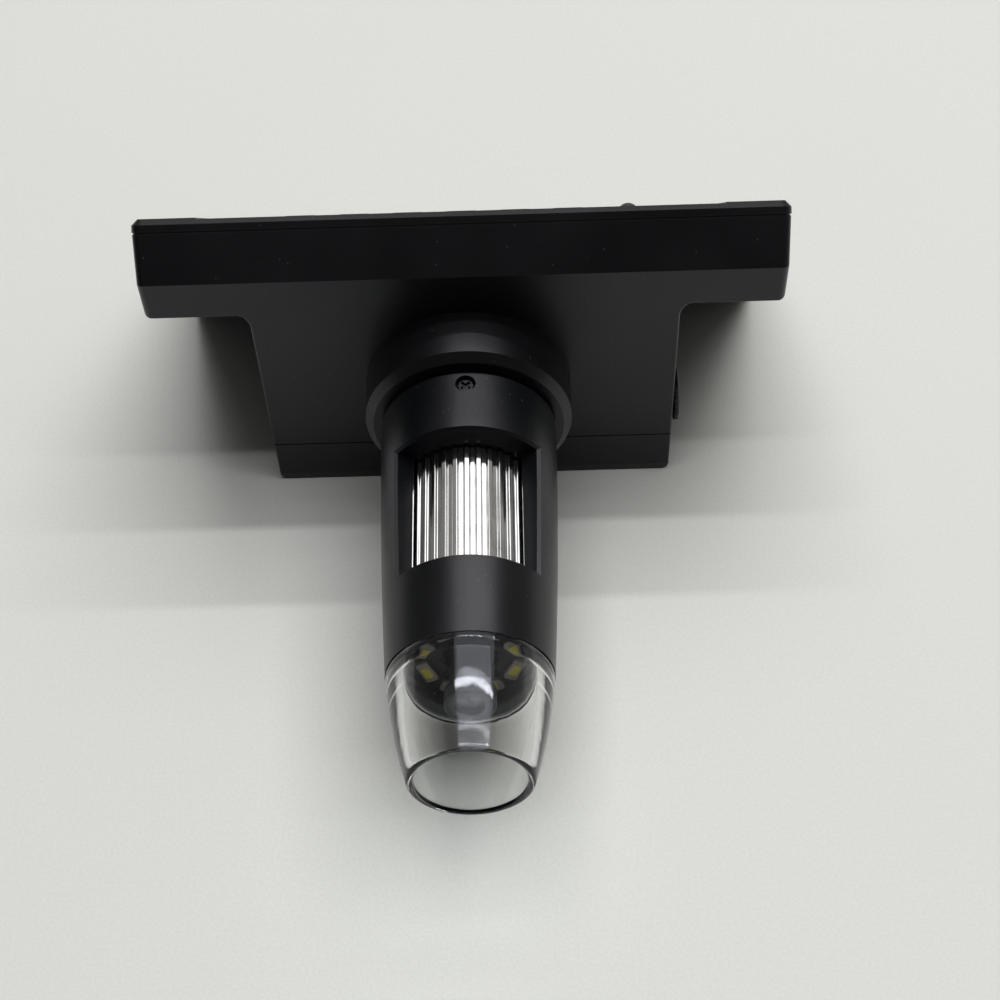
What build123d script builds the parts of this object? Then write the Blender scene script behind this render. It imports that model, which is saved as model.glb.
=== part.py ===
from build123d import *
import os
from math import cos, pi, radians, sin, sqrt, tan

# Head unit of a handheld digital microscope: a display slab tilted on a wedge-shaped leg, with a barrel
# that carries the optics, a focus wheel and a clear nose. Lengths are in millimetres.
#
# The unit stands on the flat end of its leg, at Z = 0, with the barrel level and pointing along -Y.
# Barrel stations are distances from the plate that the barrel stands on. Places on the slab are
# (across, along, height): X, the distance down the display face from its front edge, and the height
# above that face.

os.makedirs("parts", exist_ok=True)

# ------------------------------------------------------------------ driving dimensions
# Display module, which the slab is built around
lcd_width = 105.5
lcd_length = 67.2
lcd_panel_depth = 1.15
lcd_tray_depth = 2.2
side_margin = 10.85  # from the module to the end of the slab
key_margin = 9.6  # from the slab's front edge to the module, where the keys are
rear_margin = 2.2  # from the module to the slab's rear edge

# Slab
face_tilt = 46.5  # slope of the display face
slab_width = lcd_width + 2 * side_margin
slab_length = key_margin + lcd_length + rear_margin
front_wall = 12.9  # height of the front wall, bezel included
strip_width = 9.3  # plate strip between the front wall and the back of the slab
end_draft = 3.0  # lean of the two end walls
slab_corner = 1.5
case_wall = 2.0
bezel_depth = 2.6
bezel_plate = 1.8
bezel_chamfer = 1.2
bezel_corner = 2.0
seam_gap = 0.35  # groove between bezel and rear shell
seam_depth = 0.2  # to the shell's step behind the groove
lip_inset = 1.2  # from the outside of the case to the bezel's inner lip
lip_height = 1.6
band_width = lcd_width - 3.5  # middle band of the face, lower than the two end strips
band_recess = 0.25

# Leg and its end cap
leg_width = 84.6  # where the leg meets the slab
leg_draft = 1.8
foot_round = 1.8  # rounding of the leg's sides into the rest face
foot_bevel = 0.25  # bevel from the plate into the rest face, measured on the rest face
foot_bevel_height = 2.1
plate_edge = 0.45  # rounding of the plate's outline
notch_radius = 2.6
plate_wall = 2.4
leg_opening = (leg_width - 12.6, slab_length - 29.0)  # from the slab into the leg, across and along
leg_opening_along = slab_length / 2 - 0.5
cap_height = 11.9
cap_floor = 2.0
parting_gap = 0.3

# Collar and barrel
axis_drop = 30.7112  # from the top of the plate down to the barrel's axis
barrel_radius = 17.3
collar_radius = barrel_radius + 3.3
collar_length = 11.6
collar_chamfer = 1.6
collar_base = 3.0
cable_hole = 4.5
barrel_start = 12.4
straight_end = 24.0
barrel_end = 71.7
barrel_end_radius = barrel_radius - 1.55
barrel_bow = 0.25  # how far the tapered stretch bulges past a straight cone
barrel_bore = barrel_radius - 3.0
barrel_step = 1.0  # the rear end is this much thinner where the collar holds it
chamber_bore = barrel_radius - 4.2
window_start = 26.4
window_length = 28.7
window_half_angle = 53.2
window_chamfer = 0.55

# Optics carrier
wheel_radius = barrel_radius - 4.9
sleeve_radius = wheel_radius - 2.9
sleeve_bore = sleeve_radius - 1.8
sleeve_end = 65.4
sleeve_flange = 3.0
sleeve_rear_wall = 1.1
sensor_stop = 17.9  # step in the sleeve's bore that the sensor board rests on
wheel_length = 28.1
rib_count = 34
rib_depth = 0.65
rib_share = 0.5  # share of each pitch that is rib
carrier_middle = 42.0
carrier_length = 16.0
focus_travel = 4.0  # each way
focus_turn = 150.0  # wheel turn each way, in degrees
pin_radius = 0.8
lens_neck_radius = 3.9
lens_head_radius = 5.0
lens_head_start = 74.2
lens_tube_end = 77.6
led_station = 65.5
led_count = 8
led_length = 5.7  # round the ring
led_width = 3.0

# Clear nose
nose_end = 94.0
nose_radius = barrel_end_radius - 3.97
nose_wall = 1.5  # at the open end; the wall thickens towards the barrel
nose_rounding = 0.7  # of both edges of the open end
nose_bow = 0.55
nose_rim_bore = barrel_end_radius - 2.85
spigot_bore = chamber_bore - 0.9

# Display, keys and boards
lcd_along = key_margin + lcd_length / 2  # middle of the display
view_width = lcd_width - 8.5
view_length = lcd_length - 9.6
window_width = lcd_width - 4.1
window_height = lcd_length - 5.2
window_depth = 0.95
key_along = 5.7
key_pitch = 10.4
key_length = 6.0
key_width = 2.9
dome_radius = 1.6
dome_height = 0.7  # above the face band
dome_offset = 1.15  # further out than the keys' pitch puts it
key_travel = 0.3
board_width = lcd_width + 1.1
board_length = lcd_length - 11.2
board_along = lcd_along - 3.2
board_height = -9.6  # underside of the main board
board_depth = 1.2
board_screw_depth = 4.4
dial_radius = 5.4
dial_depth = 1.1
dial_back = 7.0  # behind the plate
dial_height = 16.5
battery_size = (leg_width - 30.6, 34.0, 7.0)

# Clearances
face_gap = 0.1  # between parts that seat on each other
slip_gap = 0.3  # around loose or moving parts
run_gap = 0.05  # radial, shafts and guides
thread_gap = 0.05  # radial, screw shank in its thread

# ------------------------------------------------------------------ frames
sin_tilt = sin(radians(face_tilt))
cos_tilt = cos(radians(face_tilt))
strip_along = strip_width * sin_tilt
slab_depth = front_wall + strip_width * cos_tilt
plate_top = strip_width + (slab_length - strip_along) * sin_tilt
rest_depth = (slab_length - strip_along) * cos_tilt
axis_height = plate_top - axis_drop
plate_y = -rest_depth / 2  # the origin is the middle of the rest face
face_y = plate_y + front_wall * sin_tilt
face_z = plate_top + front_wall * cos_tilt

slab_face = Plane(origin=(0, face_y, face_z), x_dir=(1, 0, 0), z_dir=(0, sin_tilt, cos_tilt))
slab_side = Plane(origin=(0, face_y, face_z), x_dir=(0, cos_tilt, -sin_tilt), z_dir=(1, 0, 0))
slab_cross = Plane(origin=(0, face_y, face_z), x_dir=(1, 0, 0), z_dir=(0, -cos_tilt, sin_tilt))
leg_side = Plane(origin=(0, plate_y, 0), x_dir=(0, 1, 0), z_dir=(1, 0, 0))
barrel_base = Plane(origin=(0, plate_y, axis_height), x_dir=(1, 0, 0), z_dir=(0, -1, 0))
barrel_side = Plane(origin=(0, plate_y, axis_height), x_dir=(0, -1, 0), z_dir=(-1, 0, 0))
barrel_axis = Axis((0, plate_y, axis_height), (0, -1, 0))
slab_normal = Axis((0, face_y, face_z), (0, sin_tilt, cos_tilt))


def leg_half(height):
    """Half the leg's width at a height of the slab frame, which is negative below the face."""
    return leg_width / 2 - (-slab_depth - height) * tan(radians(leg_draft))


def slab_place(back, up):
    """Turns (distance behind the plate, height above the rest face) into the slab's (along, height)."""
    from_y = plate_y + back - face_y
    from_z = up - face_z
    return (
        from_y * cos_tilt - from_z * sin_tilt,
        from_y * sin_tilt + from_z * cos_tilt,
    )


def world_place(along, height):
    """Turns the slab's (along, height) into (distance behind the plate, height above the rest face)."""
    return (
        face_y + along * cos_tilt + height * sin_tilt - plate_y,
        face_z - along * sin_tilt + height * cos_tilt,
    )


# ------------------------------------------------------------------ shared operations
def slab_block(width, length, low, high, at, radius=0.0, mode=Mode.ADD):
    """Blocks square to the display face, each centred on an (across, along) place."""
    with BuildSketch(slab_face.offset(low)) as outline:
        with Locations(*at):
            if radius:
                RectangleRounded(width, length, radius)
            else:
                Rectangle(width, length)
    extrude(outline.sketch, amount=high - low, mode=mode)


def slab_post(radius, low, high, at, mode=Mode.ADD):
    """Round posts or holes square to the display face."""
    with BuildSketch(slab_face.offset(low)) as outline:
        with Locations(*at):
            Circle(radius)
    extrude(outline.sketch, amount=high - low, mode=mode)


def upright_post(radius, low, high, at, mode=Mode.ADD):
    """Round posts or holes along Z, each centred on an (across, behind the plate) place."""
    with BuildSketch(Plane.XY.offset(low)) as outline:
        with Locations(*[(x, plate_y + back) for x, back in at]):
            Circle(radius)
    extrude(outline.sketch, amount=high - low, mode=mode)


def barrel_disc(radius, start, end, at=((0, 0),), mode=Mode.ADD):
    """Discs or holes along the barrel between two stations."""
    with BuildSketch(barrel_base.offset(start)) as outline:
        with Locations(*at):
            Circle(radius)
    extrude(outline.sketch, amount=end - start, mode=mode)


def turned(points, mode=Mode.ADD):
    """Revolves a closed outline of (station, radius) points about the barrel axis."""
    with BuildSketch(barrel_side) as outline:
        with BuildLine():
            Polyline(*points, close=True)
        make_face()
    revolve(outline.sketch, axis=barrel_axis, mode=mode)


def slab_body(inset, high):
    """The slab up to a height, with all its outer walls moved inwards by inset."""
    with BuildPart() as body:
        with BuildSketch(slab_side):
            with BuildLine():
                Polyline(
                    (0, high + inset),
                    (0, -front_wall),
                    (strip_along, -slab_depth),
                    (slab_length, -slab_depth),
                    (slab_length, high + inset),
                    close=True,
                )
            make_face()
            if inset:
                offset(amount=-inset, mode=Mode.REPLACE)
        extrude(amount=slab_width / 2, both=True)
        top_half = slab_width / 2 - inset
        low_half = top_half - slab_depth * tan(radians(end_draft))
        with BuildSketch(slab_cross):
            with BuildLine():
                Polyline(
                    (-top_half, 0),
                    (-low_half, -slab_depth),
                    (low_half, -slab_depth),
                    (top_half, 0),
                    close=True,
                )
            make_face()
        extrude(amount=-slab_length, mode=Mode.INTERSECT)
    return body.part


def rounded_slab(inset, high):
    """The slab up to a height, moved inwards by inset, with the edges round its end walls rounded."""
    reach = slab_width / 2 - inset - slab_depth * tan(radians(end_draft))
    with BuildPart() as body:
        add(slab_body(inset, high))
        end_edges = body.edges().filter_by(
            lambda e: abs(e.center().X) > reach - 0.1
            and (e.center() - slab_normal.position).dot(slab_normal.direction) < high - seam_gap
        )
        fillet(end_edges, radius=slab_corner - inset)
    return body.part


def leg_body(inset, high, low_z, high_z, root=0.0):
    """The leg below a height of the slab frame and between two levels, its side and plate walls moved
    inwards by inset. A root radius blends its sides into the slab."""
    deep = -slab_depth - rest_depth
    side = leg_half(high) - inset
    with BuildPart() as body:
        with BuildSketch(slab_cross) as section:
            with BuildLine():
                if root:
                    wing = side + 2 * root
                    Polyline(
                        (-wing, high + case_wall / 2),
                        (-wing, high),
                        (-side, high),
                        (-leg_half(deep) + inset, deep),
                        (leg_half(deep) - inset, deep),
                        (side, high),
                        (wing, high),
                        (wing, high + case_wall / 2),
                        close=True,
                    )
                else:
                    Polyline(
                        (-side, high),
                        (-leg_half(deep) + inset, deep),
                        (leg_half(deep) - inset, deep),
                        (side, high),
                        close=True,
                    )
            make_face()
            if root:
                inner = [v for v in section.vertices() if abs(abs(v.X) - side) < 0.01]
                fillet([v for v in inner if abs(v.Y - high) < 0.01], radius=root)
        extrude(amount=-slab_length)
        with BuildSketch(leg_side):
            with Locations((inset, low_z)):
                Rectangle(
                    2 * rest_depth, high_z - low_z, align=(Align.MIN, Align.MIN)
                )
        extrude(amount=leg_width, both=True, mode=Mode.INTERSECT)
    return body.part


# ------------------------------------------------------------------ places shared by several parts
post_across = slab_width / 2 - 6.75
post_along = (12.0, slab_length - 7.0)
post_radius = 2.5
post_split = -10.0  # where bezel posts and rear tubes meet
case_screw_radius = 1.15
case_head_radius = 2.2
case_posts = [(x, t) for x in (-post_across, post_across) for t in post_along]

board_post_across = post_across - 7.5
board_post_reach = board_length / 2 - 4.0
board_post_rows = (board_along - board_post_reach, board_along + board_post_reach)
board_post_places = [(x, t) for x in (-board_post_across, board_post_across) for t in board_post_rows]
board_top = board_height + board_depth
board_screw_radius = 1.0
key_row = [(i - 3) * key_pitch for i in range(6)] + [3 * key_pitch + dome_offset]
key_post_across = 3 * key_pitch + 6.8
key_post_places = [(x, key_along) for x in (-key_post_across, key_post_across)]
key_board_width = 2 * key_post_across + 8.0
key_board_length = 2 * key_along - 5.2
key_board_top = -5.0
key_board_depth = 1.0
key_post_radius = 1.6
small_screw_radius = 0.7

cap_screw_across = leg_width / 2 - 12.1
cap_screw_places = [(-cap_screw_across, 5.0), (cap_screw_across, 5.0)]
cap_boss_radius = 2.8
cap_boss_top = 24.0
cap_screw_radius = 1.15

collar_screw_circle = barrel_radius - 4.5
collar_screw_radius = 1.0
barrel_screw_station = 15.3
barrel_screw_radius = 1.0
barrel_screw_seat = barrel_radius - 1.7  # radius at which its head sits
barrel_head_radius = 1.7

shaft_radius = 1.5

port_across = -slab_width / 2
usb_along = 30.0
usb_size = (5.7, 7.8, 2.6)
card_along = 48.0
card_size = (15.0, 12.0, 1.9)

flange_end = collar_base + sleeve_flange
retainer_start = window_start + window_length + slip_gap
retainer_length = 2.6
spigot_radius = chamber_bore - 0.15
spigot_start = retainer_start + retainer_length + face_gap

# ------------------------------------------------------------------ rear shell
shell_outer = rounded_slab(0.0, -bezel_depth - seam_gap)
seam_step = rounded_slab(seam_depth, -bezel_depth)
shell_cavity = slab_body(case_wall, 0.0)
leg_outer = leg_body(0.0, -slab_depth, 0.0, plate_top, root=notch_radius)
leg_upper_cavity = leg_body(plate_wall, -slab_depth, 0.0, plate_top)

with BuildPart() as leg_blank:
    add(leg_outer)
    split(bisect_by=Plane.XY.offset(cap_height + parting_gap / 2), keep=Keep.TOP)

with BuildPart() as rear_shell:
    add(shell_outer)
    add(seam_step)
    add(leg_blank.part)
    outline_edges = rear_shell.edges().filter_by(
        lambda e: abs((e @ 0).Y - plate_y) < 0.01
        and abs((e @ 1).Y - plate_y) < 0.01
        and cap_height + parting_gap < e.center().Z < plate_top - 0.5
        and abs((e @ 0.5).X) < slab_width / 2 - 3 * slab_corner
    )
    fillet(outline_edges, radius=plate_edge)
    add(shell_cavity, mode=Mode.SUBTRACT)
    add(leg_upper_cavity, mode=Mode.SUBTRACT)
    # opening from the slab into the leg
    slab_block(
        leg_opening[0],
        leg_opening[1],
        -slab_depth - case_wall,
        -slab_depth + 2 * case_wall,
        [(0, leg_opening_along)],
        radius=3.0,
        mode=Mode.SUBTRACT,
    )
    # rebate for the bezel's lip
    slab_block(
        slab_width - 2 * lip_inset + 2 * face_gap,
        slab_length - 2 * lip_inset + 2 * face_gap,
        -bezel_depth - lip_height - face_gap,
        0,
        [(0, slab_length / 2)],
        mode=Mode.SUBTRACT,
    )
    # tubes for the case screws and posts for the main board
    slab_post(post_radius + 0.5, -slab_depth, post_split - face_gap, case_posts)
    slab_post(post_radius, -slab_depth + case_wall / 2, board_height, board_post_places)
    slab_post(case_screw_radius + face_gap, -slab_depth, 0, case_posts, Mode.SUBTRACT)
    slab_post(
        case_head_radius + slip_gap, -slab_depth, -slab_depth + case_wall, case_posts, Mode.SUBTRACT
    )
    slab_post(
        board_screw_radius + thread_gap,
        board_height - board_screw_depth - 0.2,
        board_height,
        board_post_places,
        Mode.SUBTRACT,
    )
    # bosses for the end cap's screws
    upright_post(cap_boss_radius, cap_height + parting_gap / 2, cap_boss_top, cap_screw_places)
    upright_post(
        cap_screw_radius + thread_gap, 0, cap_boss_top - case_wall, cap_screw_places, Mode.SUBTRACT
    )
    # cable hole and collar screw holes through the plate
    barrel_disc(cable_hole, -plate_wall - 1, 1, mode=Mode.SUBTRACT)
    with BuildSketch(barrel_base.offset(-plate_wall - 1)) as plate_holes:
        with PolarLocations(collar_screw_circle, 3, start_angle=90):
            Circle(collar_screw_radius + slip_gap / 2)
    extrude(plate_holes.sketch, amount=plate_wall + 2, mode=Mode.SUBTRACT)
    # port openings in the left end wall
    for along, size in ((usb_along, usb_size), (card_along, card_size)):
        slab_block(
            4 * case_wall,
            size[1] + 2 * slip_gap,
            board_height - size[2] - slip_gap,
            board_height + slip_gap,
            [(port_across, along)],
            mode=Mode.SUBTRACT,
        )
    # dial shaft hole through the right side wall
    with BuildSketch(leg_side.offset(leg_width / 2 - 2 * plate_wall)) as dial_hole:
        with Locations((dial_back, dial_height)):
            Circle(shaft_radius + run_gap)
    extrude(dial_hole.sketch, amount=3 * plate_wall, mode=Mode.SUBTRACT)
rear_shell.part.label = "rear_shell"
export_step(rear_shell.part, "parts/rear_shell.step")

# ------------------------------------------------------------------ end cap of the leg
cap_outer = leg_body(
    0.0, -slab_depth - face_gap, 0.0, cap_height - parting_gap / 2
)
cap_cavity = leg_body(plate_wall, 0.0, cap_floor, cap_height)

with BuildPart() as rear_end_cap:
    add(cap_outer)
    side_edges = rear_end_cap.edges().filter_by(
        lambda e: e.center().Z < 0.01 and abs(e.center().X) > leg_width / 2 - 3 * foot_round
    )
    fillet(side_edges, radius=foot_round)
    outline_edges = rear_end_cap.edges().filter_by(
        lambda e: abs((e @ 0).Y - plate_y) < 0.01
        and abs((e @ 1).Y - plate_y) < 0.01
        and e.center().Z < cap_height - parting_gap
    )
    fillet(outline_edges, radius=plate_edge)
    with BuildSketch(leg_side) as bevel:
        with BuildLine():
            Polyline(
                (-1, foot_bevel_height),
                (0, foot_bevel_height),
                (foot_bevel, 0),
                (foot_bevel, -1),
                (-1, -1),
                close=True,
            )
        make_face()
    extrude(bevel.sketch, amount=leg_width, both=True, mode=Mode.SUBTRACT)
    add(cap_cavity, mode=Mode.SUBTRACT)
    upright_post(cap_boss_radius, cap_floor / 2, cap_height - parting_gap / 2, cap_screw_places)
    upright_post(
        cap_screw_radius + face_gap, -1, cap_height, cap_screw_places, Mode.SUBTRACT
    )
    upright_post(
        case_head_radius + face_gap, -1, cap_floor, cap_screw_places, Mode.SUBTRACT
    )
rear_end_cap.part.label = "rear_end_cap"
export_step(rear_end_cap.part, "parts/rear_end_cap.step")

# ------------------------------------------------------------------ front bezel
face_middle = [(0, slab_length / 2)]
display_middle = [(0, lcd_along)]
with BuildPart() as front_bezel:
    slab_block(slab_width, slab_length, -bezel_depth, 0, face_middle, radius=bezel_corner)
    chamfer(front_bezel.faces().sort_by(slab_normal)[-1].edges(), length=bezel_chamfer)
    slab_block(band_width, 2 * slab_length, -band_recess, 1, face_middle, mode=Mode.SUBTRACT)
    slab_block(
        slab_width - 2 * case_wall,
        slab_length - 2 * case_wall,
        -bezel_depth,
        -bezel_plate,
        face_middle,
        mode=Mode.SUBTRACT,
    )
    # lip that enters the rear shell
    slab_block(
        slab_width - 2 * lip_inset,
        slab_length - 2 * lip_inset,
        -bezel_depth - lip_height,
        -bezel_depth,
        face_middle,
    )
    slab_block(
        slab_width - 2 * case_wall,
        slab_length - 2 * case_wall,
        -bezel_depth - lip_height,
        -bezel_depth,
        face_middle,
        mode=Mode.SUBTRACT,
    )
    # seat and opening of the display window
    slab_block(
        window_width + 2 * face_gap,
        window_height + 2 * face_gap,
        -band_recess - window_depth,
        0,
        display_middle,
        radius=1.0,
        mode=Mode.SUBTRACT,
    )
    slab_block(
        view_width, view_length, -bezel_depth, 0, display_middle, radius=0.8, mode=Mode.SUBTRACT
    )
    # key holes: six slots and a round one
    with BuildSketch(slab_face.offset(-bezel_depth)) as key_holes:
        with Locations(*[(x, key_along) for x in key_row[:-1]]):
            SlotOverall(key_length + slip_gap, key_width + slip_gap)
        with Locations((key_row[-1], key_along)):
            Circle(dome_radius + slip_gap / 2)
    extrude(key_holes.sketch, amount=bezel_depth, mode=Mode.SUBTRACT)
    # posts for the case screws and for the key board
    slab_post(post_radius, post_split, -bezel_plate, case_posts)
    slab_post(key_post_radius, key_board_top, -bezel_plate, key_post_places)
    slab_post(
        case_screw_radius + thread_gap, post_split, -bezel_plate - 1, case_posts, Mode.SUBTRACT
    )
    slab_post(
        small_screw_radius + thread_gap, key_board_top, -bezel_plate, key_post_places, Mode.SUBTRACT
    )
front_bezel.part.label = "front_bezel"
export_step(front_bezel.part, "parts/front_bezel.step")

# ------------------------------------------------------------------ display
with BuildPart() as display_window:
    slab_block(
        window_width,
        window_height,
        -band_recess - window_depth,
        -band_recess,
        display_middle,
        radius=1.0,
    )
display_window.part.label = "display_window"
export_step(display_window.part, "parts/display_window.step")

panel_top = -bezel_plate - face_gap
panel_low = panel_top - lcd_panel_depth
tray_low = panel_low - lcd_tray_depth
with BuildPart() as lcd_panel:
    slab_block(lcd_width - 1.0, lcd_length - 1.0, panel_low, panel_top, display_middle)
lcd_panel.part.label = "lcd_panel"
export_step(lcd_panel.part, "parts/lcd_panel.step")

with BuildPart() as lcd_tray:
    slab_block(lcd_width, lcd_length, tray_low, panel_low, display_middle)
    slab_block(
        lcd_width - 2.0,
        lcd_length - 2.0,
        panel_low - 0.6,
        panel_low,
        display_middle,
        mode=Mode.SUBTRACT,
    )
lcd_tray.part.label = "lcd_tray"
export_step(lcd_tray.part, "parts/lcd_tray.step")

ribbon_depth = 0.2
ribbon_top = tray_low - face_gap
connector_top = board_top + 1.0
connector_along = board_along + board_length / 2 - 4.0
with BuildPart() as lcd_ribbon:
    with BuildSketch(slab_side):
        with BuildLine():
            FilletPolyline(
                (connector_along - 4.0, ribbon_top),
                (connector_along + 7.0, ribbon_top),
                (connector_along + 7.0, connector_top + 2 * ribbon_depth),
                (connector_along, connector_top + 2 * ribbon_depth),
                radius=0.8,
            )
        trace(line_width=ribbon_depth)
    extrude(amount=8.0, both=True)
lcd_ribbon.part.label = "lcd_ribbon"
export_step(lcd_ribbon.part, "parts/lcd_ribbon.step")

# ------------------------------------------------------------------ keys, their board and switches
key_names = ["key_menu", "key_back", "key_down", "key_up", "key_select", "key_record", "key_power"]
flange_top = -bezel_plate - slip_gap
flange_low = flange_top - 0.5
stem_low = flange_low - 0.5
dome_ball = (dome_radius**2 + dome_height**2) / (2 * dome_height)
for name, across in zip(key_names, key_row):
    is_dome = across == key_row[-1]
    with BuildPart() as key:
        with BuildSketch(slab_face.offset(flange_low)) as cap_outline:
            with Locations((across, key_along)):
                if is_dome:
                    Circle(dome_radius)
                else:
                    SlotOverall(key_length, key_width)
        top = dome_height - band_recess if is_dome else -band_recess + 0.1
        extrude(cap_outline.sketch, amount=top - flange_low)
        if is_dome:
            with Locations(slab_face.offset(top - dome_ball)):
                with Locations((across, key_along)):
                    Sphere(dome_ball, mode=Mode.INTERSECT)
        else:
            fillet(key.faces().sort_by(slab_normal)[-1].edges(), radius=0.2)
        with BuildSketch(slab_face.offset(flange_low)) as flange_outline:
            with Locations((across, key_along)):
                if is_dome:
                    Circle(dome_radius + 0.7)
                else:
                    SlotOverall(key_length + 1.4, key_width + 1.4)
        extrude(flange_outline.sketch, amount=flange_top - flange_low)
        slab_post(1.0, stem_low, flange_low, [(across, key_along)])
    key.part.label = name
    export_step(key.part, f"parts/{name}.step")

switch_top = stem_low - key_travel - face_gap
with BuildPart() as key_switches:
    slab_block(3.4, 3.4, key_board_top, switch_top - 0.3, [(x, key_along) for x in key_row])
    slab_post(0.8, switch_top - 0.3, switch_top, [(x, key_along) for x in key_row])
key_switches.part.label = "key_switches"
export_step(key_switches.part, "parts/key_switches.step")

with BuildPart() as key_board:
    slab_block(
        key_board_width,
        key_board_length,
        key_board_top - key_board_depth,
        key_board_top,
        [(0, key_along)],
        radius=1.0,
    )
    slab_post(
        small_screw_radius + face_gap, key_board_top - 2, 0, key_post_places, Mode.SUBTRACT
    )
key_board.part.label = "key_board"
export_step(key_board.part, "parts/key_board.step")

key_board_low = key_board_top - key_board_depth
with BuildPart() as key_board_screws:
    slab_post(small_screw_radius, key_board_low, key_board_top + 2.4, key_post_places)
    slab_post(1.3, key_board_low - 0.9, key_board_low, key_post_places)
key_board_screws.part.label = "key_board_screws"
export_step(key_board_screws.part, "parts/key_board_screws.step")

# ------------------------------------------------------------------ main board and what it carries
tab_width = 7.0
tab_across = -board_width / 2 - tab_width / 2
with BuildPart() as main_board:
    slab_block(board_width, board_length, board_height, board_top, [(0, board_along)], radius=1.0)
    slab_block(tab_width + 2, 36.0, board_height, board_top, [(tab_across + 1, board_along)])
    slab_post(board_screw_radius + face_gap, -slab_depth, 0, board_post_places, Mode.SUBTRACT)
main_board.part.label = "main_board"
export_step(main_board.part, "parts/main_board.step")

board_parts = [
    (-12.0, 34.0, 14.0, 14.0, 1.3),
    (10.0, 34.0, 10.0, 12.0, 1.1),
    (28.0, 30.0, 7.0, 7.0, 2.4),
    (28.0, 44.0, 6.0, 6.0, 1.2),
    (-32.0, 44.0, 5.0, 3.2, 1.0),
]
with BuildPart() as board_chips:
    for across, along, width, length, height in board_parts:
        slab_block(width, length, board_top, board_top + height, [(across, along)])
board_chips.part.label = "board_chips"
export_step(board_chips.part, "parts/board_chips.step")

sensor_plug_along = 37.9
sensor_plug_depth = 2.0
with BuildPart() as board_connectors:
    slab_block(18.0, 3.6, board_top, connector_top, [(0, connector_along)])
    slab_block(
        8.0, 3.0, board_height - sensor_plug_depth, board_height, [(0, sensor_plug_along)]
    )
board_connectors.part.label = "board_connectors"
export_step(board_connectors.part, "parts/board_connectors.step")

board_head_depth = 1.2
with BuildPart() as board_screws:
    slab_post(board_screw_radius, board_height - board_screw_depth, board_top, board_post_places)
    slab_post(1.8, board_top, board_top + board_head_depth, board_post_places)
    slab_block(
        2.0,
        0.5,
        board_top + board_head_depth / 2,
        board_top + 2 * board_head_depth,
        board_post_places,
        mode=Mode.SUBTRACT,
    )
    slab_block(
        0.5,
        2.0,
        board_top + board_head_depth / 2,
        board_top + 2 * board_head_depth,
        board_post_places,
        mode=Mode.SUBTRACT,
    )
board_screws.part.label = "board_screws"
export_step(board_screws.part, "parts/board_screws.step")

port_wall = 0.4
usb_across = port_across + 1.0 + usb_size[0] / 2
with BuildPart() as usb_port:
    slab_block(
        usb_size[0], usb_size[1], board_height - usb_size[2], board_height, [(usb_across, usb_along)]
    )
    slab_block(
        usb_size[0],
        usb_size[1] - 2 * port_wall,
        board_height - usb_size[2] + port_wall,
        board_height - port_wall,
        [(usb_across - 1.0, usb_along)],
        mode=Mode.SUBTRACT,
    )
    slab_block(
        usb_size[0] - 1.2,
        4.6,
        board_height - usb_size[2] / 2 - 0.35,
        board_height - usb_size[2] / 2 + 0.35,
        [(usb_across + 0.5, usb_along)],
    )
usb_port.part.label = "usb_port"
export_step(usb_port.part, "parts/usb_port.step")

card_across = port_across + 1.0 + card_size[0] / 2
with BuildPart() as card_socket:
    slab_block(
        card_size[0],
        card_size[1],
        board_height - card_size[2],
        board_height,
        [(card_across, card_along)],
    )
    slab_block(
        card_size[0],
        card_size[1] - 2 * port_wall,
        board_height - card_size[2] + port_wall,
        board_height - port_wall,
        [(card_across - 1.5, card_along)],
        mode=Mode.SUBTRACT,
    )
card_socket.part.label = "card_socket"
export_step(card_socket.part, "parts/card_socket.step")

# ------------------------------------------------------------------ battery and its leads
battery_back = plate_wall + 1.0 + battery_size[1] / 2
battery_low = cap_floor + face_gap
battery_top = battery_low + battery_size[2]
with BuildPart() as battery_cell:
    with BuildSketch(Plane.XY.offset(battery_low)):
        with Locations((0, plate_y + battery_back)):
            RectangleRounded(battery_size[0], battery_size[1], 3.0)
    extrude(amount=battery_size[2])
    fillet(battery_cell.faces().sort_by(Axis.Z)[-1].edges(), radius=1.0)
battery_cell.part.label = "battery_cell"
export_step(battery_cell.part, "parts/battery_cell.step")

lead_radius = 0.6
lead_back = battery_back + battery_size[1] / 2 - 4.0
lead_across = (19.0, 21.0)
lead_end = 6.0  # last stretch of a lead, square to the board
end_height = board_height - face_gap
# the bend lies straight above the lead's place on the battery
lead_along = (lead_back + plate_y - face_y - (end_height - lead_end) * sin_tilt) / cos_tilt
with BuildPart() as battery_leads:
    for across in lead_across:
        with BuildLine(leg_side.offset(across)) as route:
            FilletPolyline(
                (lead_back, battery_top),
                world_place(lead_along, end_height - lead_end),
                world_place(lead_along, end_height),
                radius=4.0,
            )
        with BuildSketch(Plane(origin=route.line @ 0, z_dir=route.line % 0)) as tip:
            Circle(lead_radius)
        sweep(tip.sketch, path=route.line)
battery_leads.part.label = "battery_leads"
export_step(battery_leads.part, "parts/battery_leads.step")

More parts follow.
